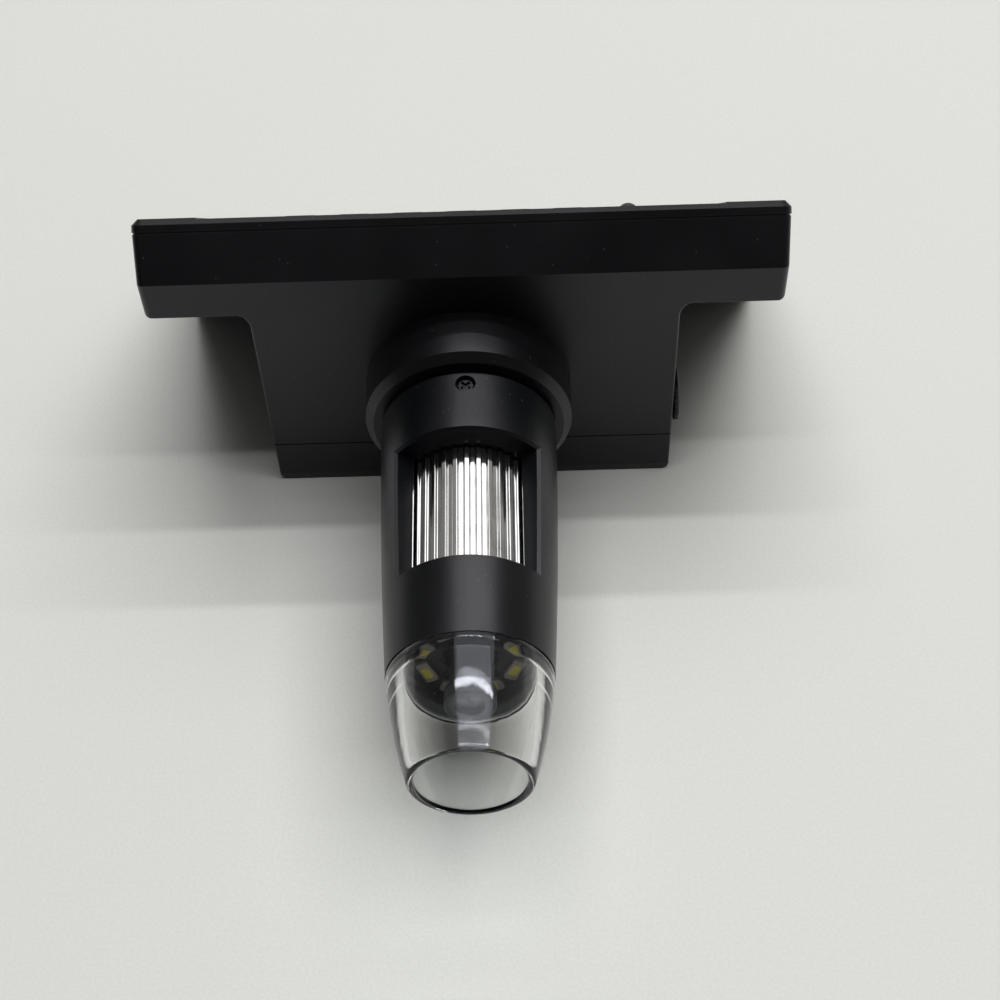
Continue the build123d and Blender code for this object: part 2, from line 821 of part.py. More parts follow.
# ------------------------------------------------------------------ brightness dial
dial_level = slab_place(dial_back, dial_height)[1]
wall_outside = leg_half(dial_level)
shaft_inside = 4.0  # how far the shaft runs past the wall, into the potentiometer
dial_grooves = 36
with BuildPart() as brightness_dial:
    with BuildSketch(leg_side.offset(wall_outside + slip_gap)) as dial_disc:
        with Locations((dial_back, dial_height)):
            Circle(dial_radius)
            with PolarLocations(dial_radius, dial_grooves):
                Circle(0.25, mode=Mode.SUBTRACT)
    extrude(dial_disc.sketch, amount=dial_depth)
    with BuildSketch(leg_side.offset(wall_outside - plate_wall - shaft_inside)) as dial_shaft:
        with Locations((dial_back, dial_height)):
            Circle(shaft_radius)
    extrude(dial_shaft.sketch, amount=plate_wall + shaft_inside + slip_gap)
brightness_dial.part.label = "brightness_dial"
export_step(brightness_dial.part, "parts/brightness_dial.step")

pot_size = 2 * (dial_back - plate_wall) - 0.8
pot_depth = 4.2
with BuildPart() as dial_potentiometer:
    with BuildSketch(leg_side.offset(wall_outside - plate_wall - slip_gap - pot_depth)) as pot:
        with Locations((dial_back, dial_height)):
            Rectangle(pot_size, pot_size)
            Circle(shaft_radius + run_gap, mode=Mode.SUBTRACT)
    extrude(pot.sketch, amount=pot_depth)
dial_potentiometer.part.label = "dial_potentiometer"
export_step(dial_potentiometer.part, "parts/dial_potentiometer.step")

# ------------------------------------------------------------------ case and end cap screws
head_depth = 1.4
with BuildPart() as case_screws:
    slab_post(
        case_screw_radius, -slab_depth + case_wall, -bezel_plate - 3.0, case_posts
    )
    slab_post(
        case_head_radius, -slab_depth + case_wall - head_depth, -slab_depth + case_wall, case_posts
    )
    for width, length in ((2.6, 0.6), (0.6, 2.6)):
        slab_block(
            width,
            length,
            -slab_depth - 1,
            -slab_depth + case_wall - head_depth / 2,
            case_posts,
            mode=Mode.SUBTRACT,
        )
case_screws.part.label = "case_screws"
export_step(case_screws.part, "parts/case_screws.step")

with BuildPart() as end_cap_screws:
    upright_post(cap_screw_radius, cap_floor, cap_boss_top - case_wall - 1, cap_screw_places)
    upright_post(case_head_radius, cap_floor - head_depth, cap_floor, cap_screw_places)
    with BuildSketch(Plane.XY.offset(cap_floor - head_depth)) as cross:
        with Locations(*[(x, plate_y + back) for x, back in cap_screw_places]):
            Rectangle(2.6, 0.6)
            Rectangle(0.6, 2.6)
    extrude(cross.sketch, amount=head_depth / 2, mode=Mode.SUBTRACT)
end_cap_screws.part.label = "end_cap_screws"
export_step(end_cap_screws.part, "parts/end_cap_screws.step")

# ------------------------------------------------------------------ collar and its screws
collar_bore = barrel_radius - barrel_step + face_gap * 2
with BuildPart() as mount_collar:
    turned(
        [
            (0, cable_hole),
            (0, collar_radius),
            (collar_length - collar_chamfer, collar_radius),
            (collar_length, collar_radius - collar_chamfer),
            (collar_length, collar_bore),
            (collar_base, collar_bore),
            (collar_base, cable_hole),
        ]
    )
    with BuildSketch(barrel_base) as base_holes:
        with PolarLocations(collar_screw_circle, 3, start_angle=90):
            Circle(collar_screw_radius + slip_gap / 2)
    extrude(base_holes.sketch, amount=collar_base, mode=Mode.SUBTRACT)
mount_collar.part.label = "mount_collar"
export_step(mount_collar.part, "parts/mount_collar.step")

with BuildPart() as collar_screws:
    with BuildSketch(barrel_base.offset(-plate_wall)) as shanks:
        with PolarLocations(collar_screw_circle, 3, start_angle=90):
            Circle(collar_screw_radius)
    extrude(shanks.sketch, amount=plate_wall + flange_end - 0.4)
    with BuildSketch(barrel_base.offset(-plate_wall)) as heads:
        with PolarLocations(collar_screw_circle, 3, start_angle=90):
            Circle(1.9)
    extrude(heads.sketch, amount=-1.3)
collar_screws.part.label = "collar_screws"
export_step(collar_screws.part, "parts/collar_screws.step")

# ------------------------------------------------------------------ guide sleeve
boss_radius = 2.4
boss_root = 0.5  # how far the boss reaches into the sleeve
groove_floor = sleeve_radius - 0.6
screw_top = Plane(
    origin=(0, plate_y - barrel_screw_station, axis_height), x_dir=(1, 0, 0), z_dir=(0, 0, 1)
)
with BuildPart() as guide_sleeve:
    turned(
        [
            (collar_base, sleeve_bore - sleeve_rear_wall),
            (collar_base, collar_bore - slip_gap),
            (flange_end, collar_bore - slip_gap),
            (flange_end, sleeve_radius),
            (sleeve_end, sleeve_radius),
            (sleeve_end, sleeve_bore),
            (sensor_stop, sleeve_bore),
            (sensor_stop, sleeve_bore - sleeve_rear_wall),
        ]
    )
    with BuildSketch(screw_top.offset(sleeve_radius - boss_root)) as boss:
        Circle(boss_radius)
    extrude(boss.sketch, amount=barrel_bore - slip_gap - sleeve_radius + boss_root)
    with BuildSketch(screw_top.offset(sleeve_radius)) as pilot:
        Circle(barrel_screw_radius + thread_gap)
    extrude(pilot.sketch, amount=barrel_bore, mode=Mode.SUBTRACT)
    with BuildSketch(barrel_base.offset(collar_base)) as flange_holes:
        with PolarLocations(collar_screw_circle, 3, start_angle=90):
            Circle(collar_screw_radius + thread_gap)
    extrude(flange_holes.sketch, amount=sleeve_flange, mode=Mode.SUBTRACT)
    # straight slot that keeps the lens carrier from turning
    with BuildSketch(leg_side.offset(sleeve_bore - 1)) as slot:
        with Locations((-carrier_middle, axis_height)):
            SlotOverall(
                2 * (focus_travel + pin_radius + slip_gap), 2 * (pin_radius + face_gap)
            )
    extrude(slot.sketch, amount=4, mode=Mode.SUBTRACT)
    # channel for the LED leads, along the bottom of the bore
    with BuildSketch(barrel_base.offset(sensor_stop)) as channel:
        with Locations((0, -groove_floor)):
            Rectangle(2.6, 2.5, align=(Align.CENTER, Align.MIN))
    extrude(channel.sketch, amount=sleeve_end, mode=Mode.SUBTRACT)
guide_sleeve.part.label = "guide_sleeve"
export_step(guide_sleeve.part, "parts/guide_sleeve.step")

# ------------------------------------------------------------------ barrel shell and its screw
taper_middle = (straight_end + barrel_end) / 2
taper_radius = (barrel_radius + barrel_end_radius) / 2 + barrel_bow
edge = 0.4
window_wall = 2.2  # between the window and the bore behind it
with BuildPart() as barrel_shell:
    with BuildSketch(barrel_side):
        with BuildLine():
            Polyline(
                (straight_end, barrel_radius),
                (barrel_start + edge, barrel_radius),
                (barrel_start, barrel_radius - edge),
                (barrel_start, barrel_radius - barrel_step),
                (flange_end + face_gap, barrel_radius - barrel_step),
                (flange_end + face_gap, barrel_bore),
                (window_start - window_wall, barrel_bore),
                (window_start - window_wall, sleeve_radius + slip_gap),
                (window_start, sleeve_radius + slip_gap),
                (window_start, chamber_bore),
                (barrel_end, chamber_bore),
                (barrel_end, barrel_end_radius),
            )
            ThreePointArc(
                (barrel_end, barrel_end_radius),
                (taper_middle, taper_radius),
                (straight_end, barrel_radius),
            )
        make_face()
    revolve(axis=barrel_axis)
    # finger window over the wheel, its sides along radii
    reach = 2 * barrel_radius
    side_up = reach / tan(radians(window_half_angle))
    with BuildSketch(barrel_base.offset(window_start)) as sector:
        with BuildLine():
            Polyline(
                (0, 0),
                (reach, side_up),
                (reach, reach),
                (-reach, reach),
                (-reach, side_up),
                close=True,
            )
        make_face()
    extrude(sector.sketch, amount=window_length, mode=Mode.SUBTRACT)
    rim = barrel_shell.edges().filter_by(
        lambda e: -0.01 < plate_y - window_start - e.center().Y < window_length + 0.01
        and e.center().Z > axis_height
        and (Vector(0, e.center().Y, axis_height) - (e @ 0.5)).length > chamber_bore + 1.5
        and e.length > 5
    )
    chamfer(rim, length=window_chamfer)
    with BuildSketch(screw_top.offset(barrel_screw_seat)) as seat:
        Circle(barrel_head_radius + slip_gap)
    extrude(seat.sketch, amount=barrel_radius, mode=Mode.SUBTRACT)
    with BuildSketch(screw_top.offset(sleeve_radius)) as screw_hole:
        Circle(barrel_screw_radius + slip_gap / 2)
    extrude(screw_hole.sketch, amount=barrel_radius, mode=Mode.SUBTRACT)
barrel_shell.part.label = "barrel_shell"
export_step(barrel_shell.part, "parts/barrel_shell.step")

with BuildPart() as barrel_screw:
    with BuildSketch(screw_top.offset(sleeve_radius + 0.4)) as shank:
        Circle(barrel_screw_radius)
    extrude(shank.sketch, amount=barrel_screw_seat - sleeve_radius - 0.4)
    with BuildSketch(screw_top.offset(barrel_screw_seat)) as head:
        Circle(barrel_head_radius)
    extrude(head.sketch, amount=1.0)
    fillet(barrel_screw.faces().sort_by(Axis.Z)[-1].edges(), radius=0.4)
    with BuildSketch(screw_top.offset(barrel_screw_seat + 0.4)) as cross:
        Rectangle(2.3, 0.7, rotation=45)
        Rectangle(0.7, 2.3, rotation=45)
    extrude(cross.sketch, amount=1.0, mode=Mode.SUBTRACT)
barrel_screw.part.label = "barrel_screw"
export_step(barrel_screw.part, "parts/barrel_screw.step")

# ------------------------------------------------------------------ focus wheel with its cam groove
wheel_start = window_start + slip_gap
wheel_bore = sleeve_radius + run_gap
rib_root = wheel_radius - rib_depth
rib_width = rib_share * 2 * pi * wheel_radius / rib_count
pin_reach = sleeve_radius + 1.2  # radius of the drive pin's outer end
groove_depth = pin_reach + slip_gap / 2 - wheel_bore
groove_width = 2 * pin_radius + slip_gap
lead = focus_travel * 360 / focus_turn  # carrier travel in one turn of the wheel
groove_over = 6.0  # extra turn at each end of the groove, in degrees
groove_sweep = 2 * (focus_turn + groove_over)
groove_over_cut = 0.3  # how far the cutter reaches inside the bore
groove_mean = wheel_bore + groove_depth / 2 - groove_over_cut
with BuildPart() as cam_groove:
    with BuildLine() as cam_line:
        Helix(pitch=lead, height=lead * groove_sweep / 360, radius=groove_mean)
    groove_mouth = Plane(origin=cam_line.line @ 0, x_dir=(1, 0, 0), z_dir=cam_line.line % 0)
    with BuildSketch(groove_mouth) as cam_section:
        Rectangle(groove_depth + 2 * groove_over_cut, groove_width)
    sweep(cam_section.sketch, path=cam_line.line, is_frenet=True)
groove_start = carrier_middle - lead * groove_sweep / 720
groove_turn = Location((0, 0, groove_start), (0, 0, -groove_sweep / 2))

with BuildPart() as focus_wheel:
    with BuildSketch(barrel_base.offset(wheel_start)):
        Circle(rib_root)
        with PolarLocations(rib_root, rib_count, start_angle=90):
            Rectangle(2 * rib_depth, rib_width)
        Circle(wheel_bore, mode=Mode.SUBTRACT)
    extrude(amount=wheel_length)
    add(barrel_base.location * groove_turn * cam_groove.part, mode=Mode.SUBTRACT)
focus_wheel.part.label = "focus_wheel"
export_step(focus_wheel.part, "parts/focus_wheel.step")

with BuildPart() as wheel_retainer:
    turned(
        [
            (retainer_start, sleeve_radius + face_gap),
            (retainer_start, chamber_bore - face_gap),
            (retainer_start + retainer_length, chamber_bore - face_gap),
            (retainer_start + retainer_length, sleeve_radius + face_gap),
        ]
    )
wheel_retainer.part.label = "wheel_retainer"
export_step(wheel_retainer.part, "parts/wheel_retainer.step")

# ------------------------------------------------------------------ lens carrier, its pin and lenses
carrier_start = carrier_middle - carrier_length / 2
carrier_end = carrier_middle + carrier_length / 2
carrier_radius = sleeve_bore - run_gap
rear_bore = sleeve_bore - 1.5
front_bore = lens_neck_radius - 0.8
lens_seat = lens_tube_end - 2.8
front_lens_radius = lens_head_radius - 0.7
pin_side = leg_side.offset(rear_bore + 0.4)
with BuildPart() as lens_carrier:
    turned(
        [
            (carrier_start, rear_bore),
            (carrier_start, carrier_radius),
            (carrier_end, carrier_radius),
            (carrier_end, lens_neck_radius),
            (lens_head_start, lens_neck_radius),
            (lens_head_start, lens_head_radius),
            (lens_tube_end, lens_head_radius),
            (lens_tube_end, front_lens_radius),
            (lens_seat, front_lens_radius),
            (lens_seat, front_bore),
            (carrier_end - 2.0, front_bore),
            (carrier_end - 2.0, rear_bore),
        ]
    )
    with BuildSketch(pin_side) as pin_hole:
        with Locations((-carrier_middle, axis_height)):
            Circle(pin_radius + 0.02)
    extrude(pin_hole.sketch, amount=4, mode=Mode.SUBTRACT)
lens_carrier.part.label = "lens_carrier"
export_step(lens_carrier.part, "parts/lens_carrier.step")

with BuildPart() as drive_pin:
    with BuildSketch(pin_side.offset(0.02)) as pin:
        with Locations((-carrier_middle, axis_height)):
            Circle(pin_radius)
    extrude(pin.sketch, amount=pin_reach - rear_bore - 0.42)
drive_pin.part.label = "drive_pin"
export_step(drive_pin.part, "parts/drive_pin.step")


def lens(name, radius, start, end, front_bulge, rear_bulge):
    """A lens between two stations at its rim; each face is flat or part of a ball on the axis."""

    def half_way(bulge):
        ball = (radius**2 + bulge**2) / (2 * bulge)
        return bulge - ball + sqrt(ball**2 - radius**2 / 4)

    with BuildPart() as element:
        with BuildSketch(barrel_side):
            with BuildLine():
                Line((end + front_bulge, 0), (start - rear_bulge, 0))
                ThreePointArc(
                    (start - rear_bulge, 0),
                    (start - half_way(rear_bulge), radius / 2),
                    (start, radius),
                )
                Line((start, radius), (end, radius))
                if front_bulge:
                    ThreePointArc(
                        (end, radius),
                        (end + half_way(front_bulge), radius / 2),
                        (end + front_bulge, 0),
                    )
                else:
                    Line((end, radius), (end, 0))
            make_face()
        revolve(axis=barrel_axis)
    element.part.label = name
    export_step(element.part, f"parts/{name}.step")


lens("front_lens", front_lens_radius - 0.03, lens_seat + 0.6, lens_seat + 1.6, 0.5, 0.4)
lens("rear_lens", rear_bore - 0.03, carrier_end - 4.4, carrier_end - 2.05, 0.0, 0.8)

with BuildPart() as lens_ring:
    turned(
        [
            (lens_seat + 2.0, front_bore - 0.3),
            (lens_seat + 2.0, front_lens_radius - 0.03),
            (lens_tube_end, front_lens_radius - 0.03),
            (lens_tube_end, front_bore - 0.3),
        ]
    )
lens_ring.part.label = "lens_ring"
export_step(lens_ring.part, "parts/lens_ring.step")

# ------------------------------------------------------------------ sensor board, sensor and ribbon
sensor_start = sensor_stop + face_gap
sensor_board_end = sensor_start + 1.2
sensor_size = 6.5
with BuildPart() as sensor_board:
    barrel_disc(sleeve_bore - 0.15, sensor_start, sensor_board_end)
sensor_board.part.label = "sensor_board"
export_step(sensor_board.part, "parts/sensor_board.step")

with BuildPart() as image_sensor:
    with BuildSketch(barrel_base.offset(sensor_board_end)):
        Rectangle(sensor_size, sensor_size)
    extrude(amount=1.3)
image_sensor.part.label = "image_sensor"
export_step(image_sensor.part, "parts/image_sensor.step")

plug_low = board_height - sensor_plug_depth - face_gap
ribbon_bend = world_place(sensor_plug_along, plug_low - 6.0)
ribbon_end = world_place(sensor_plug_along, plug_low)
with BuildPart() as sensor_ribbon:
    with BuildSketch(leg_side):
        with BuildLine():
            FilletPolyline(
                (-sensor_start + face_gap, axis_height),
                (ribbon_bend[0], axis_height),
                ribbon_end,
                radius=4.0,
            )
        trace(line_width=ribbon_depth)
    extrude(amount=2.75, both=True)
sensor_ribbon.part.label = "sensor_ribbon"
export_step(sensor_ribbon.part, "parts/sensor_ribbon.step")

# ------------------------------------------------------------------ LED ring
led_front = led_station + 1.0
led_board_radius = spigot_bore - 2 * face_gap
led_margin = 0.7
led_circle = led_board_radius - led_width / 2 - led_margin
led_depth = 0.9
lead_spacing = 1.0
with BuildPart() as led_board:
    barrel_disc(led_board_radius, led_station, led_front)
    barrel_disc(lens_head_radius + 0.4, led_station - 1, led_front + 1, mode=Mode.SUBTRACT)
led_board.part.label = "led_board"
export_step(led_board.part, "parts/led_board.step")

with BuildPart() as leds:
    with BuildSketch(barrel_base.offset(led_front)):
        with PolarLocations(led_circle, led_count, start_angle=180 / led_count):
            Rectangle(led_width, led_length)
    extrude(amount=led_depth)
leds.part.label = "leds"
export_step(leds.part, "parts/leds.step")

led_lead_radius = 0.4
with BuildPart() as led_leads:
    barrel_disc(
        led_lead_radius,
        sensor_board_end + face_gap,
        led_station - face_gap,
        at=[
            (-lead_spacing / 2, -groove_floor + led_lead_radius + face_gap),
            (lead_spacing / 2, -groove_floor + led_lead_radius + face_gap),
        ],
    )
led_leads.part.label = "led_leads"
export_step(led_leads.part, "parts/led_leads.step")

# ------------------------------------------------------------------ clear nose cap
nose_start = barrel_end + face_gap
nose_middle = (nose_start + nose_end) / 2
inner_end = nose_radius - nose_wall
bore_start = nose_start + 1.6
with BuildPart() as clear_nose_cap:
    with BuildSketch(barrel_side):
        with BuildLine():
            Polyline(
                (bore_start, nose_rim_bore),
                (nose_start - 1.2, spigot_bore),
                (spigot_start, spigot_bore),
                (spigot_start, spigot_radius),
                (nose_start, spigot_radius),
                (nose_start, barrel_end_radius),
            )
            ThreePointArc(
                (nose_start, barrel_end_radius),
                (nose_middle, (barrel_end_radius + nose_radius) / 2 + nose_bow),
                (nose_end, nose_radius),
            )
            Line((nose_end, nose_radius), (nose_end, inner_end))
            ThreePointArc(
                (nose_end, inner_end),
                ((bore_start + nose_end) / 2, (nose_rim_bore + inner_end) / 2 + nose_bow),
                (bore_start, nose_rim_bore),
            )
        make_face()
    revolve(axis=barrel_axis)
    open_end = clear_nose_cap.faces().sort_by(barrel_axis)[-1]
    fillet(open_end.edges(), radius=nose_rounding)
clear_nose_cap.part.label = "clear_nose_cap"
export_step(clear_nose_cap.part, "parts/clear_nose_cap.step")
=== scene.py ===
"""Looks of a handheld digital microscope head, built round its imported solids.

Lengths are in millimetres in the classes and become metres where a mesh is made. The row frame has
+Z up from the face that the unit stands on, -Y along the barrel towards the clear nose and +X across
the display. A station is a distance along the barrel from the plate that it stands on. Places on the
slab are (across, along, height): X, the distance down the display face and the height above it.
"""

import logging
from dataclasses import dataclass
from enum import Enum
from math import cos, degrees, pi, radians, sin

import bpy
import numpy as np
from mathutils import Matrix, Vector


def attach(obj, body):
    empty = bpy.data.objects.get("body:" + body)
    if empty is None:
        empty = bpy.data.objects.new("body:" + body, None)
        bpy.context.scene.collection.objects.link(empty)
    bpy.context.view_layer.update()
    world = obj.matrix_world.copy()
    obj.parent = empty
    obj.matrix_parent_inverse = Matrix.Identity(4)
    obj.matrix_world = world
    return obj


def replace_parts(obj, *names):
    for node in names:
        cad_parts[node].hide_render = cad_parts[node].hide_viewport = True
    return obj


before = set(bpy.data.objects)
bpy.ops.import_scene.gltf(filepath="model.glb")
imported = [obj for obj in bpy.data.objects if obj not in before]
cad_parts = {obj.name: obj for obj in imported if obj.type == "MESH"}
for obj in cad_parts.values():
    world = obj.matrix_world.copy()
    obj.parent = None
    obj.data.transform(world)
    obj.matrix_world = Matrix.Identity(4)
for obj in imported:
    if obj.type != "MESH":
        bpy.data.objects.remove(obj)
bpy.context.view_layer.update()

log = logging.getLogger("microscope")
logging.basicConfig(level=logging.INFO, format="%(name)s: %(message)s")

MM = 0.001
FACE_TILT = 46.5
PLATE_Y = -24.8682
AXIS_HEIGHT = 31.0
FACE_ORIGIN = (0.0, -15.5109, 70.5910)

Colour = tuple[float, float, float]


class Body(Enum):
    """The rigid bodies that pieces ride on."""

    HEAD = "head"
    WHEEL = "wheel"
    CARRIER = "carrier"
    DIAL = "dial"


class Grain(Enum):
    """How a moulded surface was textured in its tool, as bumps per millimetre."""

    SPARK = 3.2
    SATIN = 6.0
    FINE = 9.0


# ---------------------------------------------------------------- surfaces
def barrel_points(station: np.ndarray, radius: np.ndarray, turn: np.ndarray) -> np.ndarray:
    """Puts barrel coordinates into the row frame.

    X is radius times the sine of the turn and Z is the axis height plus radius times its cosine, so a
    turn of zero is straight up; Y is the plate's Y less the station.

    Args:
        station: distances along the barrel, in millimetres.
        radius: distances from the barrel's axis.
        turn: angles round the axis, in radians.

    Returns:
        Points in millimetres, with a last axis of three.
    """
    station, radius, turn = np.broadcast_arrays(station, radius, turn)
    return np.stack(
        (radius * np.sin(turn), PLATE_Y - station, AXIS_HEIGHT + radius * np.cos(turn)), axis=-1
    )


def grid_mesh(
    name: str, points: np.ndarray, close_rows: bool = False, cap: bool = False
) -> bpy.types.Object:
    """Makes a mesh object of a grid of points.

    Each cell between neighbouring rows and columns is a four-sided face. The columns always join up
    into a ring. The rows can join up too, or a fan to its middle can close each end row.

    Args:
        name: the piece's name.
        points: millimetre points, as (rows, columns, 3), seen anticlockwise from outside.
        close_rows: joins the last row to the first.
        cap: closes the first and last row with a point at their middle.

    Returns:
        The new object, smooth shaded and in metres.
    """
    rows, columns = points.shape[:2]
    index = np.arange(rows * columns).reshape(rows, columns)
    below = index if close_rows else index[:-1]
    above = np.roll(index, -1, axis=0) if close_rows else index[1:]
    quads = np.stack(
        (below, np.roll(below, -1, axis=1), np.roll(above, -1, axis=1), above), axis=-1
    ).reshape(-1, 4)
    vertices = points.reshape(-1, 3)
    triangles = np.zeros((0, 3), int)
    if cap:
        middles = np.stack((points[0].mean(axis=0), points[-1].mean(axis=0)))
        vertices = np.concatenate((vertices, middles))
        first, last = rows * columns, rows * columns + 1
        start, end = index[0], index[-1]
        triangles = np.concatenate(
            (
                np.stack((np.roll(start, -1), start, np.full(columns, first)), axis=-1),
                np.stack((end, np.roll(end, -1), np.full(columns, last)), axis=-1),
            )
        )
    return mesh_object(name, vertices, quads, triangles)


def mesh_object(
    name: str, vertices: np.ndarray, quads: np.ndarray, triangles: np.ndarray
) -> bpy.types.Object:
    """Makes a smooth shaded object of arrays of corners and faces.

    Args:
        name: the piece's name.
        vertices: millimetre points, as (count, 3).
        quads: corner numbers of the four-sided faces.
        triangles: corner numbers of the three-sided faces.

    Returns:
        The new object, linked to the scene.
    """
    mesh = bpy.data.meshes.new(name)
    mesh.vertices.add(len(vertices))
    mesh.vertices.foreach_set("co", (vertices * MM).astype(np.float32).ravel())
    corners = np.concatenate((quads.ravel(), triangles.ravel())).astype(np.int32)
    sizes = np.concatenate((np.full(len(quads), 4), np.full(len(triangles), 3)))
    mesh.loops.add(len(corners))
    mesh.loops.foreach_set("vertex_index", corners)
    mesh.polygons.add(len(sizes))
    mesh.polygons.foreach_set("loop_start", (np.cumsum(sizes) - sizes).astype(np.int32))
    mesh.polygons.foreach_set("use_smooth", np.ones(len(sizes), bool))
    mesh.update(calc_edges=True)
    mesh.validate()
    piece = bpy.data.objects.new(name, mesh)
    bpy.context.scene.collection.objects.link(piece)
    return piece


def rounded_path(corners: list[tuple[float, float]], radii: list[float], steps: int = 5) -> np.ndarray:
    """Rounds the corners of a closed outline.

    Each corner becomes a quadratic curve that starts its radius before the corner, ends as far after it
    and has the corner as its control point.

    Args:
        corners: the outline's corners, in order.
        radii: how far from each corner its curve starts.
        steps: points on each curve.

    Returns:
        The outline's points, as (count, 2).
    """
    here = np.array(corners, float)
    reach = np.array(radii, float)[:, None]
    back = np.roll(here, 1, axis=0) - here
    ahead = np.roll(here, -1, axis=0) - here
    start = here + back / np.linalg.norm(back, axis=1, keepdims=True) * reach
    end = here + ahead / np.linalg.norm(ahead, axis=1, keepdims=True) * reach
    t = np.linspace(0, 1, steps)[None, :, None]
    curve = (1 - t) ** 2 * start[:, None] + 2 * t * (1 - t) * here[:, None] + t**2 * end[:, None]
    return curve.reshape(-1, 2)


def bowed(
    start: tuple[float, float], end: tuple[float, float], bow: float, count: int = 24
) -> np.ndarray:
    """A bowed line: the straight line between two points plus bow times 4u(1 - u) of extra radius.

    Args:
        start: first (station, radius).
        end: last (station, radius).
        bow: extra radius half way.
        count: number of points.

    Returns:
        Points as (count, 2).
    """
    u = np.linspace(0, 1, count)[:, None]
    line = (1 - u) * np.array(start) + u * np.array(end)
    line[:, 1:] += bow * 4 * u * (1 - u)
    return line


def turned_ring(name: str, outline: np.ndarray, around: int = 128) -> bpy.types.Object:
    """Carries a closed (station, radius) outline round the barrel's axis.

    Each outline point goes round a circle: turn runs over a whole circle in equal steps at every point.

    Args:
        name: the piece's name.
        outline: outline points, out along the outside as the station grows and back along the bore.
        around: steps round the axis.

    Returns:
        The closed ring as an object.
    """
    turn = np.linspace(2 * pi, 0, around, endpoint=False)
    points = barrel_points(outline[:, :1], outline[:, 1:], turn[None, :])
    return grid_mesh(name, points, close_rows=True)


def squared_ring(count: int, power: float) -> np.ndarray:
    """A rounded square of half width 1: cosine and sine, each to the power 2 / power with its sign kept.

    Args:
        count: points round the square.
        power: 2 is a circle, and more is squarer.

    Returns:
        Points as (count, 2), anticlockwise.
    """
    turn = np.linspace(0, 2 * pi, count, endpoint=False) + pi / count
    circle = np.stack((np.cos(turn), np.sin(turn)), axis=-1)
    return np.sign(circle) * np.abs(circle) ** (2 / power)


